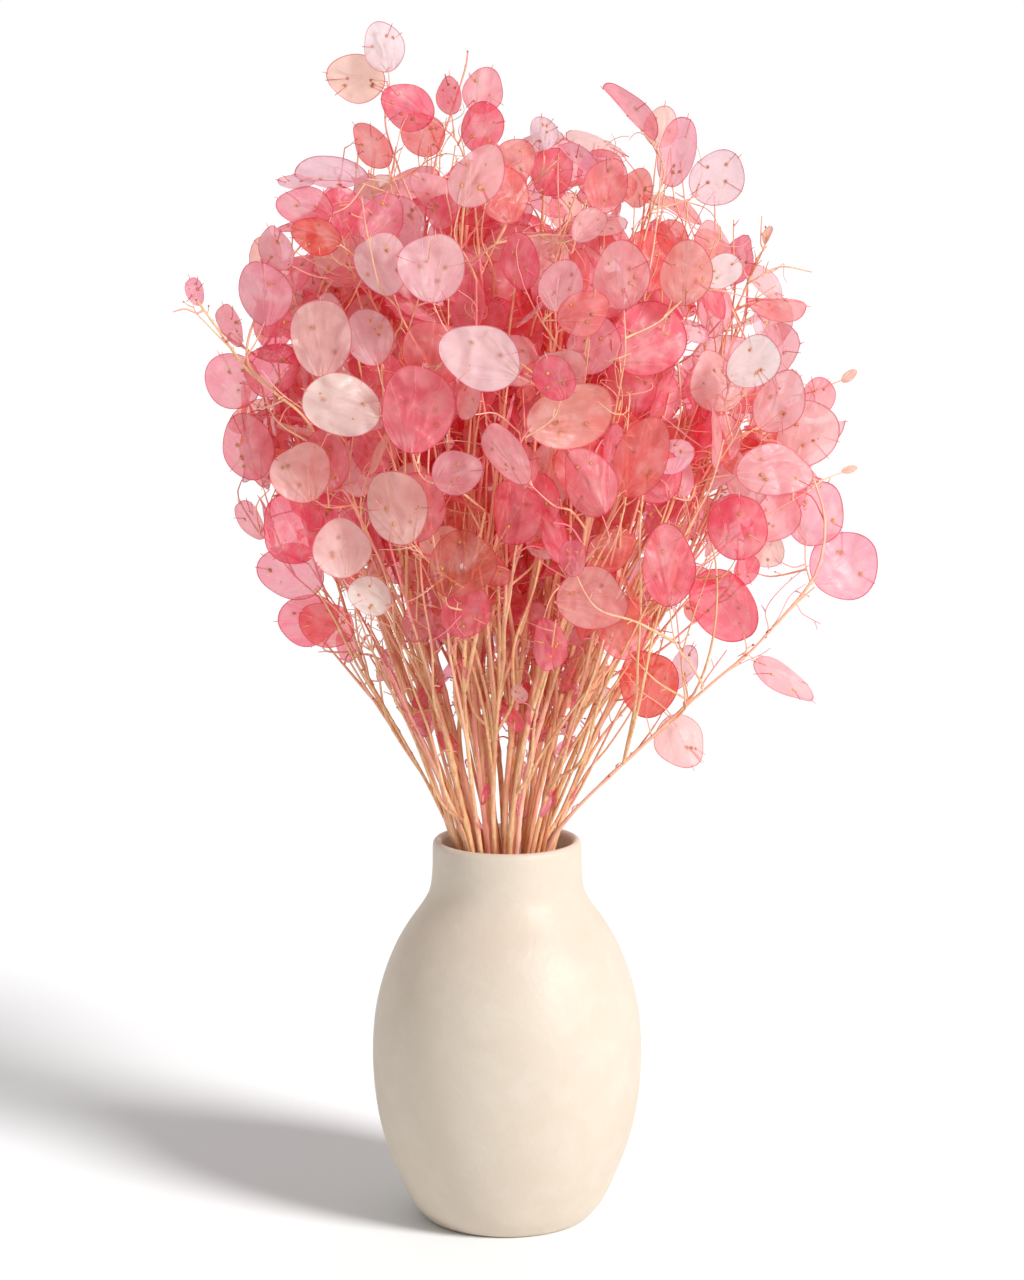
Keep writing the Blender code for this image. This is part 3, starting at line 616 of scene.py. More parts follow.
def vectorMaths(tree, operation, *values, scale=None):
    inputs = dict(enumerate(values))
    if scale is not None:
        inputs["Scale"] = scale
    return addNode(tree, "ShaderNodeVectorMath", inputs, operation=operation).outputs[0]


def newTree(name, kind, inputs, outputs):
    tree = bpy.data.node_groups.new(name, kind)
    for label, socket in inputs:
        tree.interface.new_socket(label, in_out="INPUT", socket_type=socket)
    for label, socket in outputs:
        tree.interface.new_socket(label, in_out="OUTPUT", socket_type=socket)
    return tree, tree.nodes.new("NodeGroupInput"), tree.nodes.new("NodeGroupOutput")


def treeInput(tree, name):
    # The identifier of a tree's input, which is what a modifier is set by.
    items = tree.interface.items_tree
    return next(item.identifier for item in items if item.name == name and item.in_out == "INPUT")


def meshObject(name, verts, faces=(), edges=(), attributes=None):
    # A mesh object from places in millimetres. attributes holds name: (kind, one value for each point).
    mesh = bpy.data.meshes.new(name)
    mesh.from_pydata(np.asarray(verts, float) * mm, list(edges), list(faces))
    for label, (kind, values) in (attributes or {}).items():
        layer = mesh.attributes.new(label, kind, "POINT")
        field = {"FLOAT": "value", "FLOAT_VECTOR": "vector", "FLOAT_COLOR": "color"}[kind]
        layer.data.foreach_set(field, np.asarray(values, np.float32).ravel())
    mesh.update()
    made = bpy.data.objects.new(name, mesh)
    bpy.context.scene.collection.objects.link(made)
    return made


def grown(source, tree, settings):
    # Runs a tree on the source and gives the plain mesh object that it makes.
    modifier = source.modifiers.new(tree.name, "NODES")
    modifier.node_group = tree
    for name, value in settings.items():
        modifier[treeInput(tree, name)] = value
    source.update_tag()
    mesh = bpy.data.meshes.new_from_object(source.evaluated_get(bpy.context.evaluated_depsgraph_get()))
    source.modifiers.remove(modifier)
    made = bpy.data.objects.new(source.name + "_grown", mesh)
    bpy.context.scene.collection.objects.link(made)
    bpy.data.objects.remove(source)
    return made


def joined(name, parts):
    with bpy.context.temp_override(active_object=parts[0], selected_editable_objects=parts):
        bpy.ops.object.join()
    parts[0].name = parts[0].data.name = name
    return parts[0]


def woodTree():
    # Lines with a girth at each point become closed round stems.
    tree, start, end = newTree(
        "grownWood",
        "GeometryNodeTree",
        (("Lines", "NodeSocketGeometry"), ("Sides", "NodeSocketInt"), ("Bark", "NodeSocketMaterial")),
        (("Wood", "NodeSocketGeometry"),),
    )
    girth = addNode(tree, "GeometryNodeInputNamedAttribute", {"Name": "girth"}, data_type="FLOAT")
    lines = addNode(tree, "GeometryNodeMeshToCurve", {"Mesh": start.outputs["Lines"]})
    sides = {"Resolution": start.outputs["Sides"], "Radius": 1.0}
    ring = addNode(tree, "GeometryNodeCurvePrimitiveCircle", sides)
    sweep = {"Curve": lines.outputs[0], "Profile Curve": ring.outputs[0], "Scale": girth.outputs[0]}
    tube = addNode(tree, "GeometryNodeCurveToMesh", {**sweep, "Fill Caps": True})
    smooth = addNode(tree, "GeometryNodeSetShadeSmooth", {"Geometry": tube.outputs[0]})
    real = addNode(tree, "GeometryNodeRealizeInstances", {"Geometry": smooth.outputs[0]})
    paint = {"Geometry": real.outputs[0], "Material": start.outputs["Bark"]}
    painted = addNode(tree, "GeometryNodeSetMaterial", paint)
    tree.links.new(painted.outputs[0], end.inputs[0])
    return tree


def podTree():
    # One shape stood on every point by its facing, upright and size, then bent and waved by its own numbers.
    tree, start, end = newTree(
        "grownOnPoints",
        "GeometryNodeTree",
        (
            ("Points", "NodeSocketGeometry"),
            ("Shape", "NodeSocketObject"),
            ("Skin", "NodeSocketMaterial"),
            ("Outline wave", "NodeSocketFloat"),
            ("Ripple", "NodeSocketFloat"),
        ),
        (("Pods", "NodeSocketGeometry"),),
    )

    def named(name, kind):
        return addNode(tree, "GeometryNodeInputNamedAttribute", {"Name": name}, data_type=kind).outputs[0]

    facing, upright, size = (named(name, "FLOAT_VECTOR") for name in ("facing", "upright", "size"))
    axes = {"Primary Axis": facing, "Secondary Axis": upright}
    turn = addNode(tree, "FunctionNodeAxesToRotation", axes, primary_axis="Z", secondary_axis="Y")
    shape = addNode(
        tree, "GeometryNodeObjectInfo", {"Object": start.outputs["Shape"]}, transform_space="ORIGINAL"
    )
    stood = addNode(
        tree,
        "GeometryNodeInstanceOnPoints",
        {
            "Points": start.outputs["Points"],
            "Instance": shape.outputs["Geometry"],
            "Rotation": turn.outputs[0],
            "Scale": size,
        },
    )
    real = addNode(tree, "GeometryNodeRealizeInstances", {"Geometry": stood.outputs[0]})

    place = addNode(tree, "ShaderNodeSeparateXYZ", {0: named("podPlace", "FLOAT_VECTOR")})
    x, y = place.outputs[0], place.outputs[1]
    bend = addNode(tree, "ShaderNodeSeparateXYZ", {0: named("bend", "FLOAT_VECTOR")})
    cup, fold, twist = bend.outputs
    own = named("own", "FLOAT")
    free = maths(tree, "MULTIPLY_ADD", y, 0.5, 0.5)  # 0 at the stalk, 1 at the tip
    out = maths(tree, "ADD", times(tree, x, x), times(tree, y, y))
    lift = times(tree, cup, maths(tree, "SUBTRACT", out, 1.0))
    lift = maths(tree, "MULTIPLY_ADD", fold, maths(tree, "ABSOLUTE", x), lift)
    lift = maths(tree, "MULTIPLY_ADD", twist, times(tree, x, y), lift)
    waves = [
        maths(tree, "SINE", maths(tree, "MULTIPLY_ADD", along, count, times(tree, own, shift)))
        for along, (count, shift) in zip((x, y), podBend["ripples"])
    ]
    wave = times(tree, times(tree, *waves), free)
    lift = maths(tree, "MULTIPLY_ADD", wave, start.outputs["Ripple"], lift)
    angle = maths(tree, "ARCTAN2", y, x)
    lobes = 0.0
    for count, shift in podBend["lobes"]:
        lobe = maths(tree, "SINE", maths(tree, "MULTIPLY_ADD", angle, count, times(tree, own, shift)))
        lobes = maths(tree, "ADD", lobe, lobes)
    spread = times(tree, lobes, times(tree, free, start.outputs["Outline wave"]))
    wide = addNode(tree, "ShaderNodeSeparateXYZ", {0: size})
    across = vectorMaths(tree, "CROSS_PRODUCT", upright, facing)
    sideways = vectorMaths(tree, "SCALE", across, scale=times(tree, x, wide.outputs[0]))
    lengthways = vectorMaths(tree, "SCALE", upright, scale=times(tree, y, wide.outputs[1]))
    flat = vectorMaths(tree, "SCALE", vectorMaths(tree, "ADD", sideways, lengthways), scale=spread)
    offset = vectorMaths(tree, "ADD", flat, vectorMaths(tree, "SCALE", facing, scale=lift))
    bent = addNode(tree, "GeometryNodeSetPosition", {"Geometry": real.outputs[0], "Offset": offset})
    paint = {"Geometry": bent.outputs[0], "Material": start.outputs["Skin"]}
    painted = addNode(tree, "GeometryNodeSetMaterial", paint)
    tree.links.new(painted.outputs[0], end.inputs[0])
    return tree


podBend = {
    # each wave's count, and how far the pod's own number shifts it
    "ripples": ((3.1, 6.0), (2.7, 11.0)),  # over the skin, across and along
    "lobes": ((1.0, 7.0), (2.0, 17.0), (3.0, 29.0)),  # round the outline
    "outlineWave": 0.065,
    "ripple": 0.0008,  # metres
    "skin": 0.12,  # half the thickness in the middle, in millimetres
    "narrow": 0.1,  # how much narrower a pod is at its stalk
    "innerRing": 0.56,  # where the ring between middle and rim lies
}


def podShape(name, count):
    # A thin closed lens, half a unit wide and long each way, with its place kept for the skin's pattern.
    angles = [2 * math.pi * (k / count) - math.pi / 2 for k in range(count)]
    narrow = podBend["narrow"]
    rim = [(math.cos(a) * (1 - narrow * max(0.0, -math.sin(a)) ** 2), math.sin(a)) for a in angles]
    reachIn = podBend["innerRing"]
    ring = [(reachIn * x, reachIn * y) for x, y in rim[::3]]
    verts = [(x, y, 0.0) for x, y in rim]
    reach = [1.0] * count
    faces = []
    for side in (1, -1):
        base = len(verts)
        thick = side * podBend["skin"]
        verts += [(x, y, thick * 0.8) for x, y in ring] + [(0.0, 0.0, thick)]
        reach += [reachIn] * len(ring) + [0.0]
        middle, half = base + len(ring), len(ring)
        for k in range(half):
            a, b = base + k, base + (k + 1) % half
            first, second, third, last = (j % count for j in range(3 * k, 3 * k + 4))
            made = [(middle, a, b), (a, first, second), (a, second, b), (b, second, third), (b, third, last)]
            faces += made if side > 0 else [face[::-1] for face in made]
    scale = np.array([1 / mm, 1 / mm, 1.0])
    places = [(v[0], v[1], r) for v, r in zip(verts, reach)]
    kept = {"podPlace": ("FLOAT_VECTOR", places)}
    return sharpRim(meshObject(name, np.array(verts) * scale, faces, attributes=kept), count)


def sharpRim(shape, count):
    # Smooth faces, but a hard line where the two skins meet.
    mesh = shape.data
    mesh.polygons.foreach_set("use_smooth", [True] * len(mesh.polygons))
    for edge in mesh.edges:
        edge.use_edge_sharp = max(edge.vertices) < count
    shape.hide_render = shape.hide_viewport = True
    return shape


def seedShape():
    # A flat six-sided bead for seeds and buds.
    verts = [(math.cos(k * math.pi / 3), math.sin(k * math.pi / 3), 0.0) for k in range(6)]
    verts += [(0, 0, 1), (0, 0, -1)]
    faces = [(k, (k + 1) % 6, 6) for k in range(6)] + [((k + 1) % 6, k, 7) for k in range(6)]
    shape = meshObject("seedShape", np.array(verts) / mm, faces)
    return sharpRim(shape, 0)


def cloudGroup():
    # Soft uneven patches, used by every finish here.
    tree, start, end = newTree(
        "cloudyPatches",
        "ShaderNodeTree",
        (
            ("Place", "NodeSocketVector"),
            ("Scale", "NodeSocketFloat"),
            ("Stretch", "NodeSocketVector"),
            ("Least", "NodeSocketFloat"),
            ("Most", "NodeSocketFloat"),
            ("Detail", "NodeSocketFloat"),
        ),
        (("Mask", "NodeSocketFloat"), ("Height", "NodeSocketFloat")),
    )
    place = vectorMaths(tree, "MULTIPLY", start.outputs["Place"], start.outputs["Stretch"])
    sizes = {"Vector": place, "Scale": start.outputs["Scale"], "Detail": start.outputs["Detail"]}
    noise = addNode(tree, "ShaderNodeTexNoise", {**sizes, "Roughness": 0.55, "Distortion": 0.4})
    spread = addNode(
        tree,
        "ShaderNodeMapRange",
        {"Value": noise.outputs[0], "From Min": start.outputs["Least"], "From Max": start.outputs["Most"]},
        interpolation_type="SMOOTHSTEP",
    )
    tree.links.new(spread.outputs[0], end.inputs["Mask"])
    tree.links.new(noise.outputs[0], end.inputs["Height"])
    return tree


def newMaterial(name):
    material = bpy.data.materials.new(name)
    material.use_nodes = True
    material.node_tree.nodes.clear()
    return material, material.node_tree


def patches(tree, place, scale, least, most, stretch=(1.0, 1.0, 1.0), detail=4.0):
    return addNode(
        tree,
        "ShaderNodeGroup",
        {"Place": place, "Scale": scale, "Stretch": stretch, "Least": least, "Most": most, "Detail": detail},
        node_tree=cloudyPatches,
    )


def mixColour(tree, share, first, second, blend="MIX"):
    made = addNode(tree, "ShaderNodeMix", data_type="RGBA", blend_type=blend)
    for socket, value in zip((made.inputs[0], made.inputs[6], made.inputs[7]), (share, first, second)):
        if isinstance(value, bpy.types.NodeSocket):
            tree.links.new(value, socket)
        else:
            socket.default_value = value if isinstance(value, float) else (*value[:3], 1.0)
    return made.outputs[2]


def ramped(tree, value, low, high, first=0.0, last=1.0):
    inputs = {"Value": value, "From Min": low, "From Max": high, "To Min": first, "To Max": last}
    return addNode(tree, "ShaderNodeMapRange", inputs).outputs[0]


def washed(tree, colour, mask, share, wash, blend="MIX"):
    # The colour with a share of another laid over it where the mask is.
    return mixColour(tree, times(tree, mask, share), colour, wash, blend)


def attribute(tree, name):
    return addNode(tree, "ShaderNodeAttribute", attribute_name=name)


def output(tree, shader):
    tree.links.new(shader, addNode(tree, "ShaderNodeOutputMaterial").inputs["Surface"])


def dullSurface(tree, colour, height, bumps, smoothest, roughest, rough=None):
    # A plain dull surface. Its roughness follows the height, or rough where that is given.
    strength, distance = bumps
    bump = addNode(tree, "ShaderNodeBump", {"Height": height, "Strength": strength, "Distance": distance})
    roughness = ramped(tree, height if rough is None else rough, 0.3, 0.7, smoothest, roughest)
    inputs = {"Base Color": colour, "Roughness": roughness, "Normal": bump.outputs[0]}
    output(tree, addNode(tree, "ShaderNodeBsdfPrincipled", inputs).outputs[0])


seedNames = ("seedA", "seedB", "seedC")
offThePod = [(9.0, 0.0, 0.0)] * len(seedNames)

podSkinLook = {
    # size, and the noise where the patches begin and are whole
    "clouds": (95.0, 0.38, 0.68),
    "stains": (150.0, 0.56, 0.74),
    "grain": (520.0, 0.3, 0.7),
    "folds": (3.0, 0.38, 0.66),
    "dentPatches": (62.0, 0.4, 0.66),
    "rimStart": 0.962,
    "rim": linear(232, 92, 126),
    "rimShare": 0.7,
    "rimVeil": 0.3,  # how much less see-through the rim is
    "pale": linear(255, 232, 228),
    "paler": 0.5,  # strength of the pale clouds
    "fold": linear(255, 240, 240),
    "foldShare": 0.16,
    "stain": linear(216, 150, 112),
    "stainShare": 0.22,
    "vein": linear(255, 240, 236),
    "veins": 9.0,
    "veinLighter": 0.55,
    "halo": linear(200, 122, 70),  # round each seed
    "haloShare": 0.5,
    "haloReach": 0.15,
    "through": 0.55,  # share of the light that goes on through the skin
    "tint": 0.5,  # how much of the dye is seen in what lies behind
    "roughness": 0.3,
    "dents": 0.6,
    "dentHeights": (2.6, 0.75, 0.035, 0.05, 0.1),  # of the dents, folds, grain, veins and rim
    "dentDistance": 0.004,
}


def podSkinMaterial():
    look = podSkinLook
    material, tree = newMaterial("podSkin")
    place = addNode(tree, "ShaderNodeTexCoord").outputs["Object"]
    dyed = attribute(tree, "dye")
    own = attribute(tree, "own").outputs["Fac"]
    spot = addNode(tree, "ShaderNodeSeparateXYZ", {0: attribute(tree, "podPlace").outputs["Vector"]})
    x, y, reach = spot.outputs
    flat = addNode(tree, "ShaderNodeCombineXYZ", {0: x, 1: y})
    shifted = vectorMaths(tree, "ADD", place, vectorMaths(tree, "SCALE", (1.0, 0.6, 0.3), scale=own))
    clouds = patches(tree, shifted, *look["clouds"])
    stains = patches(tree, shifted, *look["stains"])
    fine = patches(tree, shifted, *look["grain"])
    rim = ramped(tree, reach, look["rimStart"], look["rimStart"] + 0.02)

    # straight veins and soft folds that fan out from the stalk
    spoke = maths(tree, "ARCTAN2", x, maths(tree, "ADD", y, 1.25))
    bent = maths(tree, "MULTIPLY_ADD", clouds.outputs["Height"], 0.9, times(tree, own, 40.0))
    wave = maths(tree, "SINE", maths(tree, "MULTIPLY_ADD", spoke, look["veins"], bent))
    vein = ramped(tree, maths(tree, "ABSOLUTE", wave), 0.0, 0.09, 1.0, 0.0)
    vein = times(tree, vein, ramped(tree, fine.outputs["Height"], 0.35, 0.6))
    along = {0: spoke, 1: times(tree, y, 0.28), 2: times(tree, own, 9.0)}
    along = addNode(tree, "ShaderNodeCombineXYZ", along)
    folds = patches(tree, along.outputs[0], *look["folds"], detail=1.5)
    dents = patches(tree, shifted, *look["dentPatches"], detail=1.0)

    dye = dyed.outputs["Color"]
    inward = ramped(tree, reach, 0.2, 1.0, 1.0, 0.55)
    pale = times(tree, times(tree, clouds.outputs["Mask"], look["paler"]), inward)
    colour = mixColour(tree, pale, dye, look["pale"])
    colour = washed(tree, colour, folds.outputs["Mask"], look["foldShare"], look["fold"])
    colour = washed(tree, colour, stains.outputs["Mask"], look["stainShare"], look["stain"])
    colour = washed(tree, colour, vein, look["veinLighter"], look["vein"])
    halo = None
    for label in seedNames:
        gap = vectorMaths(tree, "SUBTRACT", attribute(tree, label).outputs["Vector"], flat.outputs[0])
        near = addNode(tree, "ShaderNodeVectorMath", {0: gap}, operation="LENGTH").outputs["Value"]
        near = ramped(tree, near, 0.03, look["haloReach"], 1.0, 0.0)
        near = times(tree, near, near)
        halo = near if halo is None else maths(tree, "MAXIMUM", halo, near)
    colour = washed(tree, colour, halo, look["haloShare"], look["halo"])
    colour = washed(tree, colour, rim, look["rimShare"], look["rim"], "MULTIPLY")

    veil = times(tree, dyed.outputs["Alpha"], ramped(tree, clouds.outputs["Height"], 0.3, 0.7, 0.88, 1.12))
    veil = maths(tree, "MULTIPLY_ADD", vein, 0.12, veil)
    veil = maths(tree, "MULTIPLY_ADD", folds.outputs["Mask"], 0.08, veil)
    veil = maths(tree, "MULTIPLY_ADD", rim, look["rimVeil"], veil, clamp=True)
    inside = addNode(tree, "ShaderNodeNewGeometry").outputs["Backfacing"]
    veil = times(tree, veil, maths(tree, "SUBTRACT", 1.0, inside))  # each ray meets the skin once

    deep, *heights = look["dentHeights"]
    height = times(tree, dents.outputs["Height"], deep)
    for part, much in zip((folds.outputs["Height"], fine.outputs["Height"], vein, rim), heights):
        height = maths(tree, "MULTIPLY_ADD", part, much, height)
    dented = {"Height": height, "Strength": look["dents"], "Distance": look["dentDistance"]}
    bump = addNode(tree, "ShaderNodeBump", dented)
    least, most = look["roughness"] - 0.06, look["roughness"] + 0.1
    rough = ramped(tree, fine.outputs["Height"], 0.3, 0.7, least, most)
    skin = {"Base Color": colour, "Roughness": rough, "Normal": bump.outputs[0], "IOR": 1.45}
    skin = addNode(tree, "ShaderNodeBsdfPrincipled", skin)
    deeper = mixColour(tree, 0.4, colour, colour, "MULTIPLY")
    glow = addNode(tree, "ShaderNodeBsdfTranslucent", {"Color": deeper, "Normal": bump.outputs[0]})
    solid = addNode(tree, "ShaderNodeMixShader", {0: look["through"], 1: skin.outputs[0], 2: glow.outputs[0]})
    seen = mixColour(tree, look["tint"], (1.0, 1.0, 1.0), colour)
    clear = addNode(tree, "ShaderNodeBsdfTransparent", {"Color": seen})
    veiled = addNode(tree, "ShaderNodeMixShader", {0: veil, 1: clear.outputs[0], 2: solid.outputs[0]})
    output(tree, veiled.outputs[0])
    return material


strawLook = {
    # straw is the darker colour used low down, painted shade among the crowded stems; highStraw is used
    # higher up
    "straw": linear(224, 156, 98),
    "paleStraw": linear(255, 224, 176),
    # darker brown streaks that differ from stem to stem: painted shade between the stems
    "shadeStraw": linear(186, 112, 64),
    "highStraw": linear(232, 180, 126),
    "peach": linear(250, 190, 162),
    "pink": linear(246, 122, 140),
    "needle": linear(184, 62, 70),
    "streak": linear(244, 136, 138),
    "scar": linear(140, 70, 40),
    "paleShare": 0.7,
    "shadeShare": 0.3,
    "streakShare": 0.4,
    "scarShare": 0.55,
    "roughness": 0.44,
}


def strawMaterial():
    look = strawLook
    material, tree = newMaterial("dyedStraw")
    place = addNode(tree, "ShaderNodeTexCoord").outputs["Object"]
    tone = attribute(tree, "tone").outputs["Fac"]
    grain = patches(tree, place, 900.0, 0.35, 0.65, (1.0, 1.0, 0.06))
    streaks = patches(tree, place, 160.0, 0.5, 0.66, (1.0, 1.0, 0.22))
    scars = patches(tree, place, 240.0, 0.68, 0.74)
    # the stems are darker low down and lighter higher up: painted shade near the neck
    high = ramped(tree, addNode(tree, "ShaderNodeSeparateXYZ", {0: place}).outputs[2], 0.2, 0.36)
    # darker streaks that differ from stem to stem: painted shade between the stems
    shadePatches = patches(tree, place, 110.0, 0.46, 0.58, (1.0, 1.0, 0.12), detail=1.0)
    colour = mixColour(tree, high, look["straw"], look["highStraw"])
    colour = washed(tree, colour, grain.outputs["Mask"], look["paleShare"], look["paleStraw"])
    colour = washed(tree, colour, shadePatches.outputs["Mask"], look["shadeShare"], look["shadeStraw"])
    colour = mixColour(tree, ramped(tree, tone, 0.0, 0.5), colour, look["peach"])
    colour = mixColour(tree, ramped(tree, tone, 0.5, 1.0), colour, look["pink"])
    colour = mixColour(tree, ramped(tree, tone, 1.0, 1.5), colour, look["needle"])
    colour = washed(tree, colour, streaks.outputs["Mask"], look["streakShare"], look["streak"])
    colour = washed(tree, colour, scars.outputs["Mask"], look["scarShare"], look["scar"])
    least, most = look["roughness"] - 0.1, look["roughness"] + 0.12
    dullSurface(tree, colour, grain.outputs["Height"], (0.35, 0.0004), least, most)
    return material


def seedMaterial():
    # Seeds and buds keep the colour they are given, with darker patches.
    material, tree = newMaterial("seedHusk")
    place = addNode(tree, "ShaderNodeTexCoord").outputs["Object"]
    dye = attribute(tree, "dye").outputs["Color"]
    patch = patches(tree, place, 1400.0, 0.4, 0.6)
    colour = washed(tree, dye, patch.outputs["Mask"], 0.2, linear(128, 66, 40))
    dullSurface(tree, colour, patch.outputs["Height"], (0.3, 0.0003), 0.45, 0.7)
    return material


stonewareLook = {
    "cream": linear(212, 199, 182),
    "warmer": linear(205, 190, 170),
    "paler": linear(219, 208, 193),
    "pit": linear(170, 146, 116),
    "warmShare": 0.5,
    "paleShare": 0.35,
    "pitShare": 0.12,
    "roughness": 0.5,
}


def stonewareMaterial():
    look = stonewareLook
    material, tree = newMaterial("creamStoneware")
    place = addNode(tree, "ShaderNodeTexCoord").outputs["Object"]
    broad = patches(tree, place, 14.0, 0.35, 0.7)
    cloudy = patches(tree, place, 70.0, 0.4, 0.7)
    peel = patches(tree, place, 420.0, 0.3, 0.7)
    pits = patches(tree, place, 900.0, 0.66, 0.76)
    colour = washed(tree, look["cream"], broad.outputs["Mask"], look["warmShare"], look["warmer"])
    colour = washed(tree, colour, cloudy.outputs["Mask"], look["paleShare"], look["paler"])
    colour = washed(tree, colour, pits.outputs["Mask"], look["pitShare"], look["pit"])
    height = times(tree, peel.outputs["Height"], 0.6)
    height = maths(tree, "MULTIPLY_ADD", cloudy.outputs["Height"], 1.6, height)
    height = maths(tree, "SUBTRACT", height, times(tree, pits.outputs["Mask"], 0.15))
    least, most = look["roughness"] - 0.05, look["roughness"] + 0.08
    dullSurface(tree, colour, height, (0.22, 0.001), least, most, peel.outputs["Height"])
    return material


dyes = {  # dye and how little is seen through it
    "blush": (linear(255, 214, 218), 0.7),
    "beige": (linear(252, 216, 202), 0.72),
    "dusty": (linear(238, 186, 176), 0.72),
    "rust": (linear(238, 100, 78), 0.72),
    "clear": (linear(248, 170, 156), 0.36),
    "rose": (linear(255, 126, 152), 0.58),
    "coral": (linear(255, 132, 130), 0.58),
    "pink": (linear(255, 163, 179), 0.58),
    "salmon": (linear(255, 160, 157), 0.62),
    "shell": (linear(255, 225, 223), 0.72),
    "ivory": (linear(255, 250, 240), 0.9),
    "mauve": (linear(250, 132, 154), 0.76),
    "pearl": (linear(255, 233, 237), 0.9),
    "bubblegum": (linear(255, 188, 199), 0.8),
    "straw": (linear(255, 206, 186), 0.85),
    "cerise": (linear(255, 100, 132), 0.64),
    "airyPink": (linear(255, 188, 195), 0.5),
    "airy": (linear(255, 224, 225), 0.48),
    "smoke": (linear(228, 136, 116), 0.4),
}

growth = {
    "seed": 23,
    "sides": (8, 5, 3),  # of a stem, a twig and a thread
    "innerPods": 600,
    "lowPods": 170,
    "innerLengths": (20, 33),
    "lowLengths": (11, 21),
    "innerWidths": (0.74, 0.95),  # against the length
    "lowWidths": (0.45, 0.8),
    "lowAbout": ((4, 32), (4, 24)),  # for x and for y: the middle, and how far the low pods lie about it
    "lowHeights": (250, 345),
    "stalkGirths": (0.5, 0.3),
    "stalkTones": (0.4, 1.0),
    "deepBelow": 395,  # the heart of the bunch, which takes the deeper dyes
    "deepWithin": 60,
    # pods that close the gaps: how many, round which spot seen from the front, how far about it, and y
    "gapPods": (
        (30, (122, 98), 26, (-55, 10)),
        (26, (-112, 108), 26, (-55, 10)),
        (14, (-94, 176), 12, (-20, 50)),
        (16, (-16, 205), 14, (0, 70)),
        (12, (30, 150), 16, (0, 60)),
        (10, (-63, 169), 9, (-10, 60)),
    ),
    # right and up as seen from the front, y, length, width to length, roll and dye
    "latePods": (
        (134, 62, -34, 27, 0.86, 30, "bubblegum"),
        (129, 46, -30, 22, 0.84, -50, "shell"),
        (120, 35, -34, 16, 0.8, 20, "rose"),
        (141, 76, -26, 24, 0.8, -10, "pink"),
    ),
    # x, z and radius of the open spaces
    "clearings": ((100, 503, 19), (104, 462, 15), (131, 453, 9), (44, 513, 14), (80, 511, 14), (95, 301, 9)),
    "deepDyes": "rose rose cerise coral pink salmon",
    "innerDyes": "rose rose rose coral pink pink pink bubblegum salmon blush",
    "outerDyes": "rose pink pink salmon coral blush blush bubblegum shell clear blush",
    # the right dyes are paler: painted light on the pods at the right, the side the sun comes from
    "rightDyes": "rose pink pink blush blush blush bubblegum shell clear shell",
    "fillDyes": "rose rose coral coral pink pink pink salmon salmon blush blush beige shell mauve",
    # the pods behind and between the placed ones that have a dye of their own, by number
    "ownDyes": {
        105: "airyPink", 109: "pink", 114: "airyPink", 123: "airyPink", 125: "blush", 147: "airyPink",
        158: "airyPink", 159: "airy", 160: "blush", 178: "airy", 187: "rose", 190: "airy", 196: "blush",
        202: "blush", 210: "blush", 211: "beige", 214: "blush", 225: "blush", 230: "airyPink", 234: "blush",
        236: "pink", 239: "blush", 242: "airy",
    },
    "budColours": ((198, 104, 70), (216, 140, 96), (176, 76, 64), (240, 186, 140), (232, 116, 120)),
}

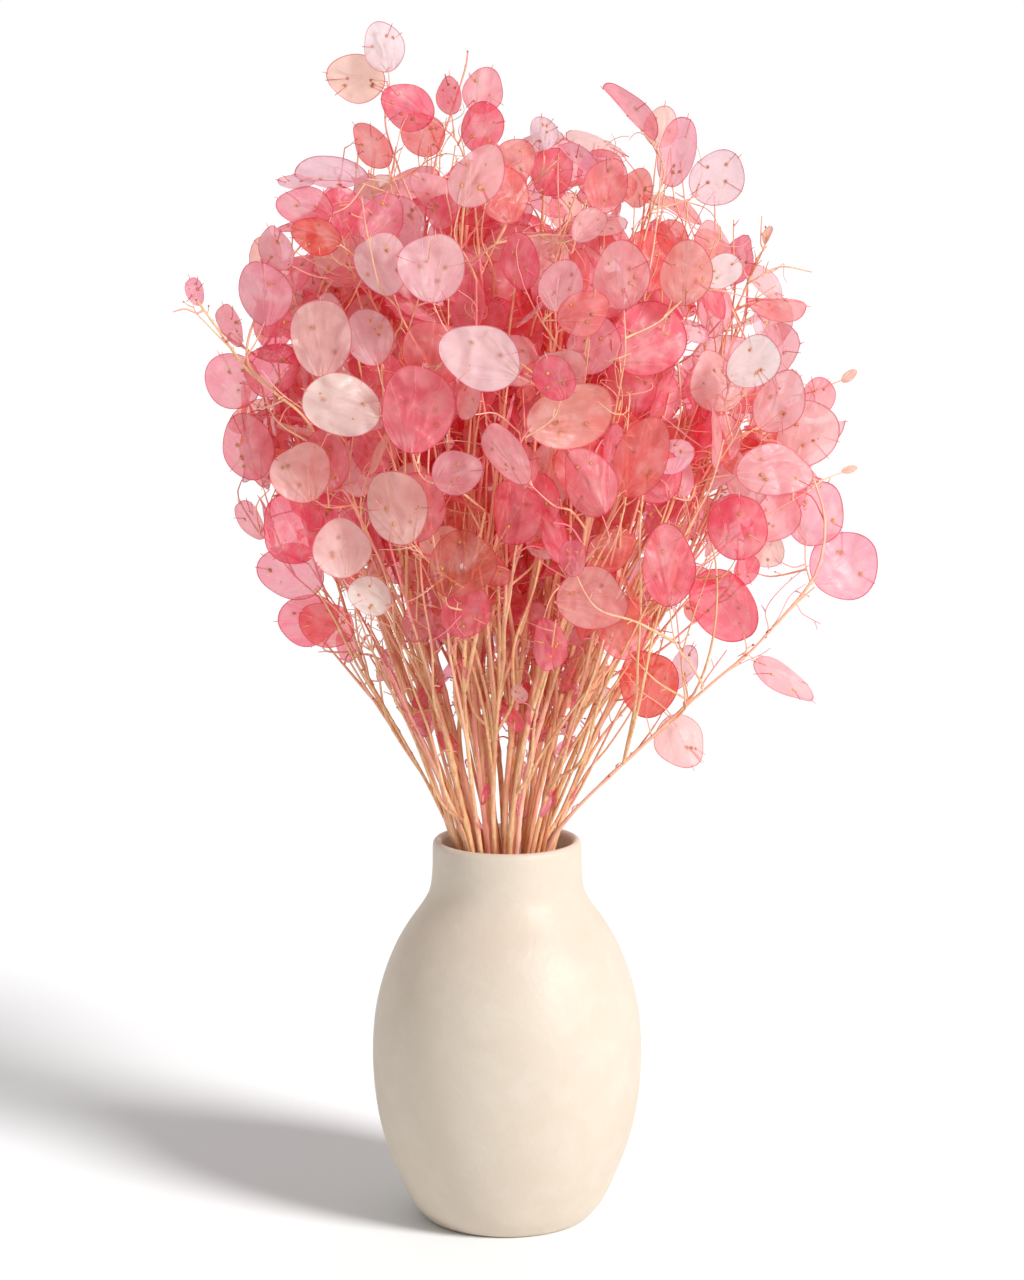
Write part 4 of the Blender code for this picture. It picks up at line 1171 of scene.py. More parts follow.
frontTwigs = [
    # places seen from the front (right, up), y at the foot and at the tip, tone, girth
    ([(-26, -30), (-26, 8), (-30, 52.5), (-33.5, 80), (-38.5, 110)], (-44, -88), 0.05, 0.95),
    ([(-24.5, 12), (-7.5, 31), (8.5, 50), (20, 80), (24.5, 105)], (-52, -104), 0.1, 0.85),
    ([(-9.5, -40), (-8.5, 2.5), (-4, 30), (-2.5, 59), (-1, 85), (-3.5, 120),
        (-5.5, 155)], (-40, -80), 0.1, 1.0),
    ([(3, -30), (3.5, -3.5), (14, 27.5), (19.5, 60), (22.5, 80), (29.5, 110)], (-46, -92), 0.05, 1.0),
    ([(-18.5, -30), (-19.5, 20), (-19, 62), (-19.5, 90), (-16.5, 125), (-14.5, 155)], (-42, -84), 0.1, 0.95),
    ([(-10.5, 0), (-11, 40), (-10.5, 70), (-9.5, 100)], (-36, -72), 0.2, 0.9),
    ([(64.5, -30), (65.5, -9), (67, 20), (66.5, 53.5), (69, 80), (72.5, 105)], (-56, -112), 0.0, 0.8),
    ([(46.5, -25), (51.5, -6), (74, 19), (89, 52.5), (101.5, 76), (108.5, 100)], (-48, -96), 0.25, 0.9),
    ([(-36.5, -30), (-37.5, -3.5), (-42.5, 28.5), (-44, 71.5), (-47.5, 95)], (-48, -96), 0.3, 0.8),
    ([(-51.5, 137.5), (-50, 151.5), (-41.5, 179), (-37.5, 200)], (-59, -118), 0.0, 0.55),
    ([(-15, 109), (-28.5, 122.5), (-46, 149), (-55.5, 167), (-63.5, 176.5), (-70, 205),
        (-72.5, 222)], (-61, -122), 0.1, 0.6),
    ([(-3.5, 155), (-7, 185), (-12.5, 200), (-10.5, 220)], (-46, -92), 0.2, 0.7),
    ([(6.5, 117.5), (12.5, 155), (20, 176.5), (29, 205), (35, 225)], (-50, -100), 0.05, 0.8),
    ([(34.5, 100), (36.5, 130), (41.5, 157.5), (44.5, 175)], (-62, -124), 0.0, 0.75),
    ([(31.5, 85), (31, 100), (35, 114), (38.5, 125), (41.5, 150)], (-63, -126), 0.1, 0.5),
    ([(14.5, 40), (17.5, 61.5), (22.5, 95), (26.5, 110)], (-59, -118), 0.05, 0.75),
    ([(-17.5, 40), (-17.5, 82.5), (-13.5, 115), (-12, 127.5)], (-52, -104), 0.1, 0.8),
    ([(-72.5, 81.5), (-77.5, 94), (-85, 104), (-99.5, 114), (-113.5, 124),
        (-122.5, 135)], (-56, -112), 0.35, 0.5),
    ([(96.5, 85), (104.5, 110), (111.5, 130), (120.5, 144)], (-35, -70), 0.2, 0.6),
    ([(26.5, 0), (34, 20), (41.5, 40), (52.5, 60), (62.5, 75)], (-50, -100), 0.3, 0.65),
    ([(-54.5, 0), (-57.5, 20), (-63.5, 40), (-73.5, 60), (-81, 75)], (-43, -86), 0.45, 0.7),
    ([(-33.5, 20), (-43.5, 40), (-54.5, 55), (-65.5, 70)], (-52, -104), 0.4, 0.5),
    ([(55.5, 20), (66.5, 35), (80.5, 47.5), (96.5, 55)], (-54, -108), 0.5, 0.5),
    ([(22.5, 105), (26.5, 120), (32.5, 134), (41.5, 144), (52.5, 151)], (-58, -116), 0.3, 0.45),
    ([(-1, 85), (6.5, 100), (17, 110), (26.5, 114)], (-62, -124), 0.25, 0.42),
    ([(-26, 170), (-29.5, 189), (-27.5, 207.5), (-30.5, 225)], (-50, -100), 0.2, 0.55),
    ([(66.5, 110), (72.5, 130), (76.5, 150), (82.5, 170)], (-52, -104), 0.2, 0.6),
    ([(91.5, 155), (96.5, 170), (99.5, 185), (104.5, 200)], (-30, -60), 0.1, 0.5),
    ([(-83.5, 155), (-77.5, 170), (-67.5, 189), (-55.5, 200)], (-48, -96), 0.3, 0.5),
    ([(-103.5, 85), (-94.5, 94), (-88.5, 105)], (-52, -104), 0.4, 0.42),
    ([(78, 20.5), (87.5, 45.5), (95.5, 66.5), (103, 87.5), (106, 105), (108, 122.5),
        (110.5, 140)], (-72, -22), 0.05, 1.1),
    ([(66.5, -30), (72.5, 0), (78, 20.5), (85.5, 40)], (-60, -76), 0.05, 0.9),
    ([(-38.5, -74), (-49.5, -54), (-63.5, -30), (-76, -10.5), (-86, 10), (-95.5, 26)], (-16, -40), 0.0, 0.95),
    ([(-41, -60), (-53, -35.5), (-60.5, -16), (-77.5, 7), (-90.5, 20)], (-22, -50), 0.3, 0.55),
    ([(-33.5, -80), (-46, -50), (-55.5, -30), (-67.5, -5), (-77.5, 20), (-88.5, 40)], (-26, -50), 0.15, 0.75),
    ([(-29.5, -80), (-37.5, -50), (-46.5, -25), (-54.5, 0), (-63.5, 20)], (-32, -60), 0.1, 0.85),
    ([(90, -32.5), (87.5, -10.5), (93.5, 12.5), (103, 39.5)], (-48, -60), 0.1, 0.6),
    ([(143.5, 17.5), (148, 13), (157, 8)], (-52, -56), 0.6, 0.36),
    ([(130, 3), (129.5, 15), (137.5, 26), (151, 37.5)], (-52, -60), 0.8, 0.36),
    ([(134.5, 9), (141.5, 22), (149.5, 28)], (-52, -44), 0.8, 0.3),
    ([(113, -14), (126.5, -7.5), (132, -4)], (-48, -54), 0.7, 0.3),
    ([(82, -39), (66.5, -25), (57.5, -14)], (-40, -60), 0.5, 0.4),
    ([(37.5, -60), (46.5, -30), (57.5, -7.5), (70.5, 17.5)], (-40, -84), 0.05, 1.0),
    ([(26.5, -65), (34, -40), (42.5, -20), (48.5, 0)], (-44, -84), 0.1, 0.9),
    ([(11.5, -65), (14, -40), (20.5, -15), (24.5, 10)], (-44, -84), 0.05, 0.95),
    ([(-151, 159), (-155.5, 164), (-157.5, 170)], (-52, -50), 0.3, 0.4),
    ([(27, -86), (34, -70), (43, -50), (53, -26), (62, -4)], (-12, -34), 0.1, 1.0),
    ([(29, -88), (38, -72), (50, -48), (60, -28), (68, -10)], (-4, -24), 0.35, 0.9),
    ([(25, -84), (30, -72), (38, -52), (46, -30), (56, -4), (66, 20)], (-16, -44), 0.05, 1.0),
    ([(28, -86), (40, -66), (50, -54), (62, -36), (74, -12), (80, 8)], (2, -14), 0.2, 0.8),
]

rng = random.Random(growth["seed"])
boxLow, boxHigh = (np.array(corner) / mm for corner in cadBox)


def inBox(points, room=2.0):
    points = np.atleast_2d(points)
    return bool((points > boxLow + room).all() and (points < boxHigh - room).all())


def anyWay():
    return unit(np.array([rng.gauss(0, 1) for _ in range(3)]))


def podLift(pod, x, y):
    # How far the skin stands off the pod's flat at x, y, in millimetres, as the tree bends it.
    cup, fold, twist = pod["bend"]
    free = 0.5 * y + 0.5
    ripples = zip((x, y), podBend["ripples"])
    waves = math.prod(math.sin(count * along + pod["own"] * shift) for along, (count, shift) in ripples)
    return cup * (x * x + y * y - 1) + fold * abs(x) + twist * x * y + waves * free * podBend["ripple"] / mm


def podPoint(pod, x, y):
    free, angle = 0.5 * y + 0.5, math.atan2(y, x)
    lobes = sum(math.sin(count * angle + pod["own"] * shift) for count, shift in podBend["lobes"])
    grow = 1 + lobes * free * podBend["outlineWave"]
    across = np.cross(pod["up"], pod["normal"])
    flat = across * x * pod["width"] / 2 * grow + pod["up"] * y * pod["length"] / 2 * grow
    return pod["centre"] + flat + pod["normal"] * podLift(pod, x, y)


podSpread = {  # how far pods differ from one another, with lengths in millimetres for a pod 30 long
    "brighter": 1.04,
    "lightness": (-0.08, 0.07),
    "warmth": (-0.05, 0.06),
    "cup": (0.5, 2.6),
    "flatShare": 0.66,
    "slightFold": (-0.9, 0.9),
    "deepFold": (2.0, 6.0),
    "twist": (-2.2, 2.2),
    "veil": (-0.07, 0.07),
    "veilLimits": (0.4, 0.96),
}


class Growth:
    # All that one stem carries, ready to be made into meshes.

    def __init__(self):
        self.thick, self.twigs, self.threads = [], [], []  # (points, girths, tones)
        self.pods, self.specks = [], []

    def addPod(self, pod, dye, shade=0.0):
        colour, veil = dyes[dye]
        shift = podSpread["brighter"] + rng.uniform(*podSpread["lightness"]) + shade
        warm = rng.uniform(*podSpread["warmth"])
        tint = [min(0.98, c * shift * w) for c, w in zip(colour, (1.08, 1 - warm * 0.6, 1 + warm))]
        size = pod["length"] / 30
        pod["own"] = rng.random()
        pod["seeds"] = list(offThePod)  # where the seeds lie
        cup = rng.choice((-1, 1)) * rng.uniform(*podSpread["cup"]) * size
        if rng.random() < podSpread["flatShare"]:
            fold = rng.uniform(*podSpread["slightFold"]) * size
        else:
            fold = rng.choice((-1, 1)) * rng.uniform(*podSpread["deepFold"]) * size
        pod["bend"] = (cup, fold, rng.uniform(*podSpread["twist"]) * size)
        least, most = podSpread["veilLimits"]
        pod["dye"] = (*tint, min(most, max(least, veil + rng.uniform(*podSpread["veil"]))))
        rim = [(math.cos(a), math.sin(a)) for a in np.linspace(0, 6.2, 16)]
        while not inBox([podPoint(pod, x, y) for x, y in rim], 0.2):
            pod["centre"] = pod["centre"] - pod["up"] * pod["length"] * 0.015
            pod["length"], pod["width"] = pod["length"] * 0.97, pod["width"] * 0.97
            pod["bend"] = tuple(b * 0.7 for b in pod["bend"])
        self.pods.append(pod)

    def addSpeck(self, place, facing, upright, size, colour):
        shade = rng.uniform(0.85, 1.15)
        tint = (*(c * shade for c in linear(*colour)), 1.0)
        self.specks.append({"centre": place, "normal": facing, "up": upright, "size": size, "dye": tint})

    def addBud(self, place, along, length, colour=None):
        facing, _ = turnedFrame(unit(along), anyWay())
        colour = colour or rng.choice(growth["budColours"])
        self.addSpeck(place, facing, unit(along), (length * 0.36, length * 0.5, length * 0.34), colour)


seedLook = {
    "perPod": (3, 5),
    "reach": (0.32, 0.66),  # how far out a seed lies, from the middle to the rim
    "share": 0.9,  # of the needles, those that still hold a seed
    "size": (0.5, 1.0),
    "longer": (0.8, 1.3),
    "thick": 0.4,
    "crumb": (0.35, 0.4, 0.35),
    "needleTones": (0.0, 0.6, 1.0, 1.3),
    "needleGirths": (0.25, 0.17),
    "needleOver": (0.3, 1.7),  # how far a needle stands over the rim
    "needleShare": 0.85,
    "beak": (1.2, 2.6),  # the needle at the tip of a pod
    "beakGirths": (0.35, 0.3, 0.16),
    "leastPod": 10,  # a shorter scrap of skin holds no seeds
    "colours": ((236, 170, 84), (230, 158, 70), (214, 150, 80), (232, 130, 92), (190, 126, 66)),
}


def seedAndNeedle(plant, pod, number):
    # A seed in the skin, and the needle that holds it to the rim, crossing the rim a little.
    look = seedLook
    angle = rng.uniform(0, 2 * math.pi)
    r = rng.uniform(*look["reach"])
    x, y = r * math.cos(angle), r * math.sin(angle)
    if rng.random() < look["share"]:
        size = rng.uniform(*look["size"])
        shape = (size, size * rng.uniform(*look["longer"]), look["thick"])
        plant.addSpeck(podPoint(pod, x, y), pod["normal"], pod["up"], shape, rng.choice(look["colours"]))
        if number < len(seedNames):
            pod["seeds"][number] = (x, y, 0.0)
    for _ in range(rng.choice((0, 0, 1, 2))):
        near = podPoint(pod, x + rng.uniform(-0.1, 0.1), y + rng.uniform(-0.1, 0.1))
        plant.addSpeck(near, pod["normal"], pod["up"], look["crumb"], rng.choice(look["colours"]))
    inner = rng.uniform(0.55, 1.0) if rng.random() < 0.5 else rng.uniform(1.0, 1.25)
    swing = angle + rng.uniform(-0.16, 0.16)
    reaches = np.linspace(inner * r if inner > 1 else r, 1.0, 4)
    line = [podPoint(pod, a * math.cos(swing), a * math.sin(swing)) for a in reaches]
    line.append(line[-1] + unit(line[-1] - line[-2]) * rng.uniform(*look["needleOver"]))
    tones = np.linspace(rng.choice(look["needleTones"]), 1.5, len(line))
    if inBox(line[-1], 0.5) and rng.random() < look["needleShare"]:
        plant.threads.append((np.array(line), np.linspace(*look["needleGirths"], len(line)), tones))


stubLook = {
    "every": 20.0,  # millimetres between the side stubs of a twig
    "reach": (2.0, 7.5),
    "lean": (0.5, 1.3),  # how much a stub leans along its twig
    "girths": (0.42, 0.3, 0.24),
    "turn": 2.4,  # from one stub to the next, give or take half
    "budShare": 0.55,
    "bud": (0.9, 1.7),
}


def stubs(plant, line, every, tone):
    # Short side stalks with a knob, left where pods have dropped, turning round the twig as they go up.
    if len(line) < 2:
        return
    lengths = np.linalg.norm(np.diff(line, axis=0), axis=1)
    along = np.cumsum(lengths)
    turn = rng.uniform(0, 6)
    at = rng.uniform(0.3, 1.0) * every
    while at < along[-1]:
        k = int(np.searchsorted(along, at))
        axis = unit(line[k + 1] - line[k])
        start = line[k + 1] - axis * (along[k] - at)
        first, second = turnedFrame(axis, np.array([0.3, -0.9, 0.2]))
        out = first * math.cos(turn) + second * math.sin(turn)
        reach = rng.uniform(*stubLook["reach"])
        tip = start + unit(out + axis * rng.uniform(*stubLook["lean"])) * reach
        if inBox(tip):
            middle = (start + tip) / 2 + axis * reach * rng.uniform(-0.1, 0.12)
            stub = np.array([start, middle, tip])
            plant.threads.append((stub, np.array(stubLook["girths"]), np.full(3, tone)))
            if rng.random() < stubLook["budShare"]:
                plant.addBud(tip, tip - middle, rng.uniform(*stubLook["bud"]))
        turn += stubLook["turn"] + rng.uniform(-0.5, 0.5)
        at += every * rng.uniform(0.6, 1.5)


threadLook = {
    "count": 900,
    "highEnough": 300,
    "lowest": 285,
    "front": -30,  # half of those that would start behind this y are left out
    "lengths": (14, 58),
    "curl": (0.1, 0.45),
    "tightCurl": (0.7, 1.2),
    "looseShare": 0.8,
    "wander": 0.16,
    "girths": (0.36, 0.16),
    "tones": (0.1, 0.25, 0.4, 0.7, 0.9),
    "budShare": 0.2,
    "bud": (0.8, 1.4),
}


def thread(plant, start, way, length, curl, tone):
    # A fine wandering tendril.
    count = max(5, int(length / 4))
    spin = anyWay()
    points, step = [start], length / count
    for k in range(count):
        turn = np.cross(spin, way) * curl * (0.4 + 1.3 * k / count)
        way = unit(way + turn + anyWay() * threadLook["wander"])
        points.append(points[-1] + way * step)
        if not inBox(points[-1]) or not insideDome(points[-1], 1.0):
            return
    line = curved(points, 2)
    plant.threads.append((line, np.linspace(*threadLook["girths"], len(line)), np.full(len(line), tone)))
    if rng.random() < threadLook["budShare"]:
        plant.addBud(line[-1], way, rng.uniform(*threadLook["bud"]))


barkLook = {
    "knot": 0.28,  # how much thicker a stem is at a knot
    "knotShare": 0.12,
    "uneven": (-0.05, 0.05),
    "budsFrom": 205,  # heights
    "stubsFrom": 300,
    "knotBud": (1.2, 2.2),
    "pinkFrom": 230,
    "pinkOver": 260,  # the height over which the pink comes in
    "tone": (-0.05, 0.14),
    "pinkerShare": 0.25,
    "pinker": (0.2, 0.5),
    "pinkAbove": (0.0, 0.5),
}


def girthsAlong(path, line):
    ends = np.linspace(0, 1, len(line)), np.linspace(0, 1, len(path["radii"]))
    return np.interp(*ends, path["radii"])


def mainStems(bunch):
    return [path for path in bunch.paths if path["parent"] is None]


def layOut():
    # The same wood and pods as the solids, then all the finer growth that they leave out.
    bunch = Bunch()
    bunch.growStems()
    bunch.growTwigs()
    bunch.showPods()
    shown = len(bunch.pods)
    bunch.fillPods()
    plants = [Growth() for _ in range(fan["stems"])]

    look = barkLook
    for path in bunch.paths:
        plant = plants[path["stem"]]
        if path["parent"] is None:
            line = curved(path["points"], 7)
            girths = girthsAlong(path, line)
            knots = []
            for _ in line:
                knot = look["knot"] if rng.random() < look["knotShare"] else 0.0
                knots.append(1 + knot + rng.uniform(*look["uneven"]))
            knots = np.array(knots)
            high = np.clip((line[:, 2] - look["pinkFrom"]) / look["pinkOver"], 0, 1)
            pinker = rng.uniform(*look["pinker"]) if rng.random() < look["pinkerShare"] else 0.0
            tones = rng.uniform(*look["tone"]) + pinker + high * rng.uniform(*look["pinkAbove"])
            plant.thick.append((line, girths * knots, np.clip(tones, 0, 1)))
            for k in np.flatnonzero(knots > 1 + 0.7 * look["knot"]):
                if line[k][2] > look["budsFrom"]:
                    way = line[k] - line[k - 1]
                    side = turnedFrame(unit(way), anyWay())[0]
                    plant.addBud(line[k] + side * girths[k], way + side, rng.uniform(*look["knotBud"]))
            stubs(plant, line[line[:, 2] > look["stubsFrom"]], stubLook["every"] * 1.6, 0.5)
        else:
            line = curved(path["points"], 5)
            start = rng.uniform(0.0, 0.3)
            end = rng.uniform(0.0, 0.45) if rng.random() < 0.6 else rng.uniform(0.5, 1.0)
            girths = np.maximum(girthsAlong(path, line) * 0.8, 0.3)
            plant.twigs.append((line, girths, np.linspace(start, end, len(line))))
            stubs(plant, line, stubLook["every"], (start + end) / 2)

    shownDyes = [row[-1] for row in podPlan["shown"]]
    for number, pod in enumerate(bunch.pods):
        pod["fine"] = number < shown
        dye = shownDyes[number] if number < shown else rng.choice(growth["fillDyes"].split())
        plants[pod["stem"]].addPod(pod, growth["ownDyes"].get(number, dye))

    # each stage has a seed of its own, so that a change in one leaves the others as they are
    stages = (
        addFrontTwigs, addInnerStems, addLongTwigs, addInnerPods,
        addLatePods, addSeeds, addThreads, addScraps,
    )
    for number, stage in enumerate(stages):
        rng.seed(growth["seed"] + number)
        stage(bunch, plants)
    return plants


def addFrontTwigs(bunch, plants):
    # The straw branches that run up before the pods, each from the nearest main stem under its foot.
    mains = mainStems(bunch)
    places = np.vstack([between(path["points"], 5) for path in mains])
    owners = np.concatenate([np.full(len(between(path["points"], 5)), k) for k, path in enumerate(mains)])
    for spots, depths, tone, girth in frontTwigs:
        points = np.array([seenAt(*spot, y) for spot, y in zip(spots, np.linspace(*depths, len(spots)))])
        # near, about 35 mm below the foot, and not farther out than it
        drop = points[0][2] - places[:, 2]
        outside = (places[:, 0] - points[0][0]) * np.sign(points[0][0]) > -3
        cost = np.linalg.norm(places - points[0], axis=1) + 60 * (drop < 12)
        cost = cost + 0.3 * np.abs(drop - 35) + 50 * outside
        k = int(cost.argmin())
        line = curved([places[k], *points], 7)
        stem = mains[owners[k]]["stem"]
        tones = np.clip(np.linspace(0.0, 2 * tone, len(line)), 0, 1)
        plants[stem].twigs.append((line, np.linspace(girth, girth * 0.5, len(line)), tones))
        stubs(plants[stem], line[len(line) // 3 :], stubLook["every"], tone)
        bunch.addPath(stem, 0, line[::3], np.full(len(line[::3]), girth))


innerStemPlan = {
    "count": 150,
    "fromNeck": 16,  # how many of them start inside the vase
    "starts": (222, 310),  # heights
    "neckStarts": (130, 185),
    "lengths": (110, 270),
    "neckLengths": (150, 260),
    "girths": (0.9, 1.3),
    "neckGirths": (1.1, 1.5),
    "tip": 0.5,
    "tipTone": (0.1, 0.9),
    "spans": 9,
    "outward": (-0.4, 0.9),
    "lean": 0.16,  # sideways, in the first two spans
    "laterLean": 0.02,
    "wander": 0.05,
    "mouth": (30.5, 202),  # they stay inside this radius up to this height
    "dome": (0.85, 300),  # and inside this share of the dome above this one
    "stubsFrom": 245,
}


def addInnerStems(bunch, plants):
    # Thin side branches inside the bunch that run up between the main stems.
    look = innerStemPlan
    mains = mainStems(bunch)
    for number in range(look["count"]):
        path = rng.choice(mains)
        fromNeck = number < look["fromNeck"]
        if fromNeck:
            path = min(rng.sample(mains, 7), key=lambda main: main["points"][-1][0])
        line = between(path["points"], 3)
        lowest, highest = look["neckStarts" if fromNeck else "starts"]
        starts = [k for k in range(len(line) - 4) if lowest < line[k][2] < highest]
        if not starts:
            continue
        k = rng.choice(starts)
        way = unit(line[k + 1] - line[k])
        outward = unit(np.array([line[k][0], line[k][1], 0.0]) + 1e-3)
        side = unit(anyWay() * 0.8 + outward * rng.uniform(*look["outward"]))
        if fromNeck:
            side = unit(anyWay() * 0.6 + (-0.8, 0.0, 0.0))
        length, count = rng.uniform(*look["neckLengths" if fromNeck else "lengths"]), look["spans"]
        points = [line[k]]
        for j in range(count):
            lean = side * look["lean" if j < 2 else "laterLean"] + np.array([0, 0, 0.03])
            way = unit(way + lean + anyWay() * look["wander"])
            points.append(points[-1] + way * length / count)
        share, above = look["dome"]
        points = [p for p in points if inBox(p, 8) and (p[2] < above or insideDome(p, share))]
        if len(points) < 4:
            continue
        curve = curved(points, 4)
        if any(math.hypot(p[0], p[1]) > look["mouth"][0] for p in curve if p[2] < look["mouth"][1]):
            continue
        tones = np.clip(np.linspace(0.0, rng.uniform(*look["tipTone"]), len(curve)), 0, 1)
        girth = rng.uniform(*look["neckGirths" if fromNeck else "girths"])
        plants[path["stem"]].twigs.append((curve, np.linspace(girth, look["tip"], len(curve)), tones))
        stubs(plants[path["stem"]], curve[curve[:, 2] > look["stubsFrom"]], stubLook["every"], 0.6)
        bunch.addPath(path["stem"], 0, points, np.linspace(1.0, 0.45, len(points)))


longTwigPlan = {
    "count": 70,
    "starts": (228, 440),  # heights
    "rise": (90, 230),
    "highest": 542,
    "reach": (0.6, 0.92),  # how far out towards the dome of the bunch they end
    "swing": (-0.5, 0.5),
    "wander": 1.6,
    "girths": (0.7, 0.95),
    "tip": 0.34,
    "tones": (0.0, 0.0, 0.1, 0.2, 0.35, 0.6),
}


def addLongTwigs(bunch, plants):
    # Slender straw branches that leave a main stem and sweep up over the outside of the bunch.
    look = longTwigPlan
    mains = mainStems(bunch)
    made = 0
    while made < look["count"]:
        path = rng.choice(mains)
        line = between(path["points"], 4)
        starts = [k for k in range(2, len(line) - 2) if look["starts"][0] < line[k][2] < look["starts"][1]]
        k = rng.choice(starts)
        way = unit(line[k + 1] - line[k])
        outward = np.array([line[k][0], line[k][1], 0.0])
        angle = math.atan2(outward[1], outward[0]) + rng.uniform(*look["swing"])
        high = min(line[k][2] + rng.uniform(*look["rise"]), look["highest"])
        share = (high - sight["domeCentre"][2]) / sight["domeRadii"][2]
        if abs(share) > 0.95:
            continue
        flat = math.sqrt(1 - share * share) * rng.uniform(*look["reach"])
        bulge = np.array([math.cos(angle), math.sin(angle), 0.0])
        end = sight["domeCentre"] + sight["domeRadii"] * (bulge[0] * flat, bulge[1] * flat, share)
        run = np.linalg.norm(end - line[k])
        c1 = line[k] + way * run * 0.36 + bulge * run * 0.06
        c2 = end - np.array([0, 0, run * 0.35]) + bulge * run * 0.02
        points = swept(line[k], c1, c2, end, 9)
        points[2:] += np.array([anyWay() * look["wander"] for _ in points[2:]])
        if not inBox(points, 6):
            continue
        curve = curved(points, 3)
        tone = rng.choice(look["tones"])
        tones = np.clip(np.linspace(tone * 0.5, tone + 0.1, len(curve)), 0, 1)
        plant = plants[path["stem"]]
        plant.twigs.append((curve, np.linspace(rng.uniform(*look["girths"]), look["tip"], len(curve)), tones))
        stubs(plant, curve[len(curve) // 3 :], stubLook["every"] * 1.2, tone)
        bunch.addPath(path["stem"], 0, points, np.linspace(0.8, look["tip"], len(points)))
        made += 1


def insideDome(point, share):
    return np.linalg.norm((point - sight["domeCentre"]) / sight["domeRadii"]) < share


def addInnerPods(bunch, plants):
    # More pods in the depth of the bunch, each on a short stalk from the nearest wood, then the lowest ones.
    wood = [(path, k) for path in bunch.paths for k in range(1, len(path["points"]))]
    wood = [(path, k) for path, k in wood if path["points"][k][2] > 225]
    places = np.array([path["points"][k] for path, k in wood])
    gaps = []
    for count, middle, about, depths in growth["gapPods"]:
        for _ in range(count):
            spot = seenAt(rng.gauss(middle[0], about), rng.gauss(middle[1], about), rng.uniform(*depths))
            if inBox(spot, 14) and insideDome(spot, 1.0):
                gaps.append(spot)
    made = 0
    while made < growth["innerPods"] + growth["lowPods"]:
        low = made >= growth["innerPods"]
        if gaps:
            spot = gaps.pop()
        elif low:
            flat = [rng.gauss(*about) for about in growth["lowAbout"]]
            spot = np.array([*flat, rng.uniform(*growth["lowHeights"])])
            spot[:2] *= min(1.0, (spot[2] - 205) / (np.linalg.norm(spot[:2]) + 1))
        else:
            spread = rng.choice((0.3, 0.6))
            spot = podPlan["fillCentre"] + anyWay() * podPlan["fillRadii"] * 0.97 * rng.random() ** spread
        if not low and (spot[2] < 285 or spot[2] < 292 + 0.5 * abs(spot[0])):
            continue  # below the underside of the bunch, which rises to the sides
        length = rng.uniform(*growth["lowLengths" if low else "innerLengths"])
        if bunch.hidesAShownPod(spot, length * 0.8, len(podPlan["shown"])):
            continue
        normal = unit(anyWay() + unit(spot - podPlan["fillCentre"]) * 0.6)
        up = turnedFrame(normal, anyWay() * 0.8 + (0, 0, 1.0))[0]
        base = spot - up * length / 2
        away = np.linalg.norm(places - base, axis=1) + 30 * (places[:, 2] > base[2])
        path, k = wood[int(away.argmin())]
        start = path["points"][k]
        plant = plants[path["stem"]]
        bend = (start + base) / 2 + unit(path["points"][k] - path["points"][k - 1]) * away.min() * 0.2
        stalk = curved([start, bend, base], 3)
        if not inBox(stalk) or not inBox(spot, length * 0.6):
            continue
        tone, girths = rng.uniform(*growth["stalkTones"]), np.linspace(*growth["stalkGirths"], len(stalk))
        plant.twigs.append((stalk, girths, np.full(len(stalk), tone)))
        wide = rng.uniform(*growth["lowWidths" if low else "innerWidths"])
        pod = {"centre": spot, "normal": normal, "up": up, "length": length, "width": length * wide}
        if not low and spot[2] < growth["deepBelow"] and abs(spot[0]) < growth["deepWithin"]:
            layer = "deep"
        elif low or insideDome(spot, 0.72):
            layer = "inner"
        else:
            # pods on the right, where the sun falls, and at the top take the paler right dyes: painted light
            layer = "right" if spot[0] > 45 or spot[2] > 490 else "outer"
        plant.addPod(pod, rng.choice(growth[layer + "Dyes"].split()))
        if any(math.dist(spot[::2], clear[:2]) < clear[2] for clear in growth["clearings"]):
            plant.pods.pop()
            plant.twigs.pop()
        made += 1


def addLatePods(bunch, plants):
    # The last few small pods, each at its own place, on a stalk from the nearest wood below it.
    places = np.vstack([path["points"][1:] for path in bunch.paths])
    owners = np.concatenate([np.full(len(path["points"]) - 1, path["stem"]) for path in bunch.paths])
    for right, up, y, length, wide, roll, dye in growth["latePods"]:
        spot = seenAt(right, up, y)
        lean = math.radians(roll)
        normal = unit(np.array([rng.uniform(-0.3, 0.3), -1.0, rng.uniform(-0.2, 0.3)]))
        way = turnedFrame(normal, np.array([math.sin(lean), 0.0, math.cos(lean)]))[0]
        base = spot - way * length / 2
        away = np.linalg.norm(places - base, axis=1) + 30 * (places[:, 2] > base[2])
        k = int(away.argmin())
        start, plant = places[k], plants[owners[k]]
        stalk = curved([start, (start + base) / 2 + (0, 0, -2.0), base], 3)
        girths = np.linspace(*growth["stalkGirths"], len(stalk))
        plant.twigs.append((stalk, girths, np.full(len(stalk), 0.7)))
        pod = {"centre": spot, "normal": normal, "up": way, "length": length, "width": length * wide}
        plant.addPod(pod, dye)


def addSeeds(bunch, plants):
    for plant in plants:
        for pod in plant.pods:
            if pod["length"] < seedLook["leastPod"]:
                continue
            for number in range(rng.randint(*seedLook["perPod"])):
                seedAndNeedle(plant, pod, number)
            tip = podPoint(pod, 0, 1)
            beak = tip + pod["up"] * rng.uniform(*seedLook["beak"])
            if inBox(beak, 0.5):
                line = np.array([tip - pod["up"], tip, beak])
                plant.threads.append((line, np.array(seedLook["beakGirths"]), np.full(3, 0.8)))


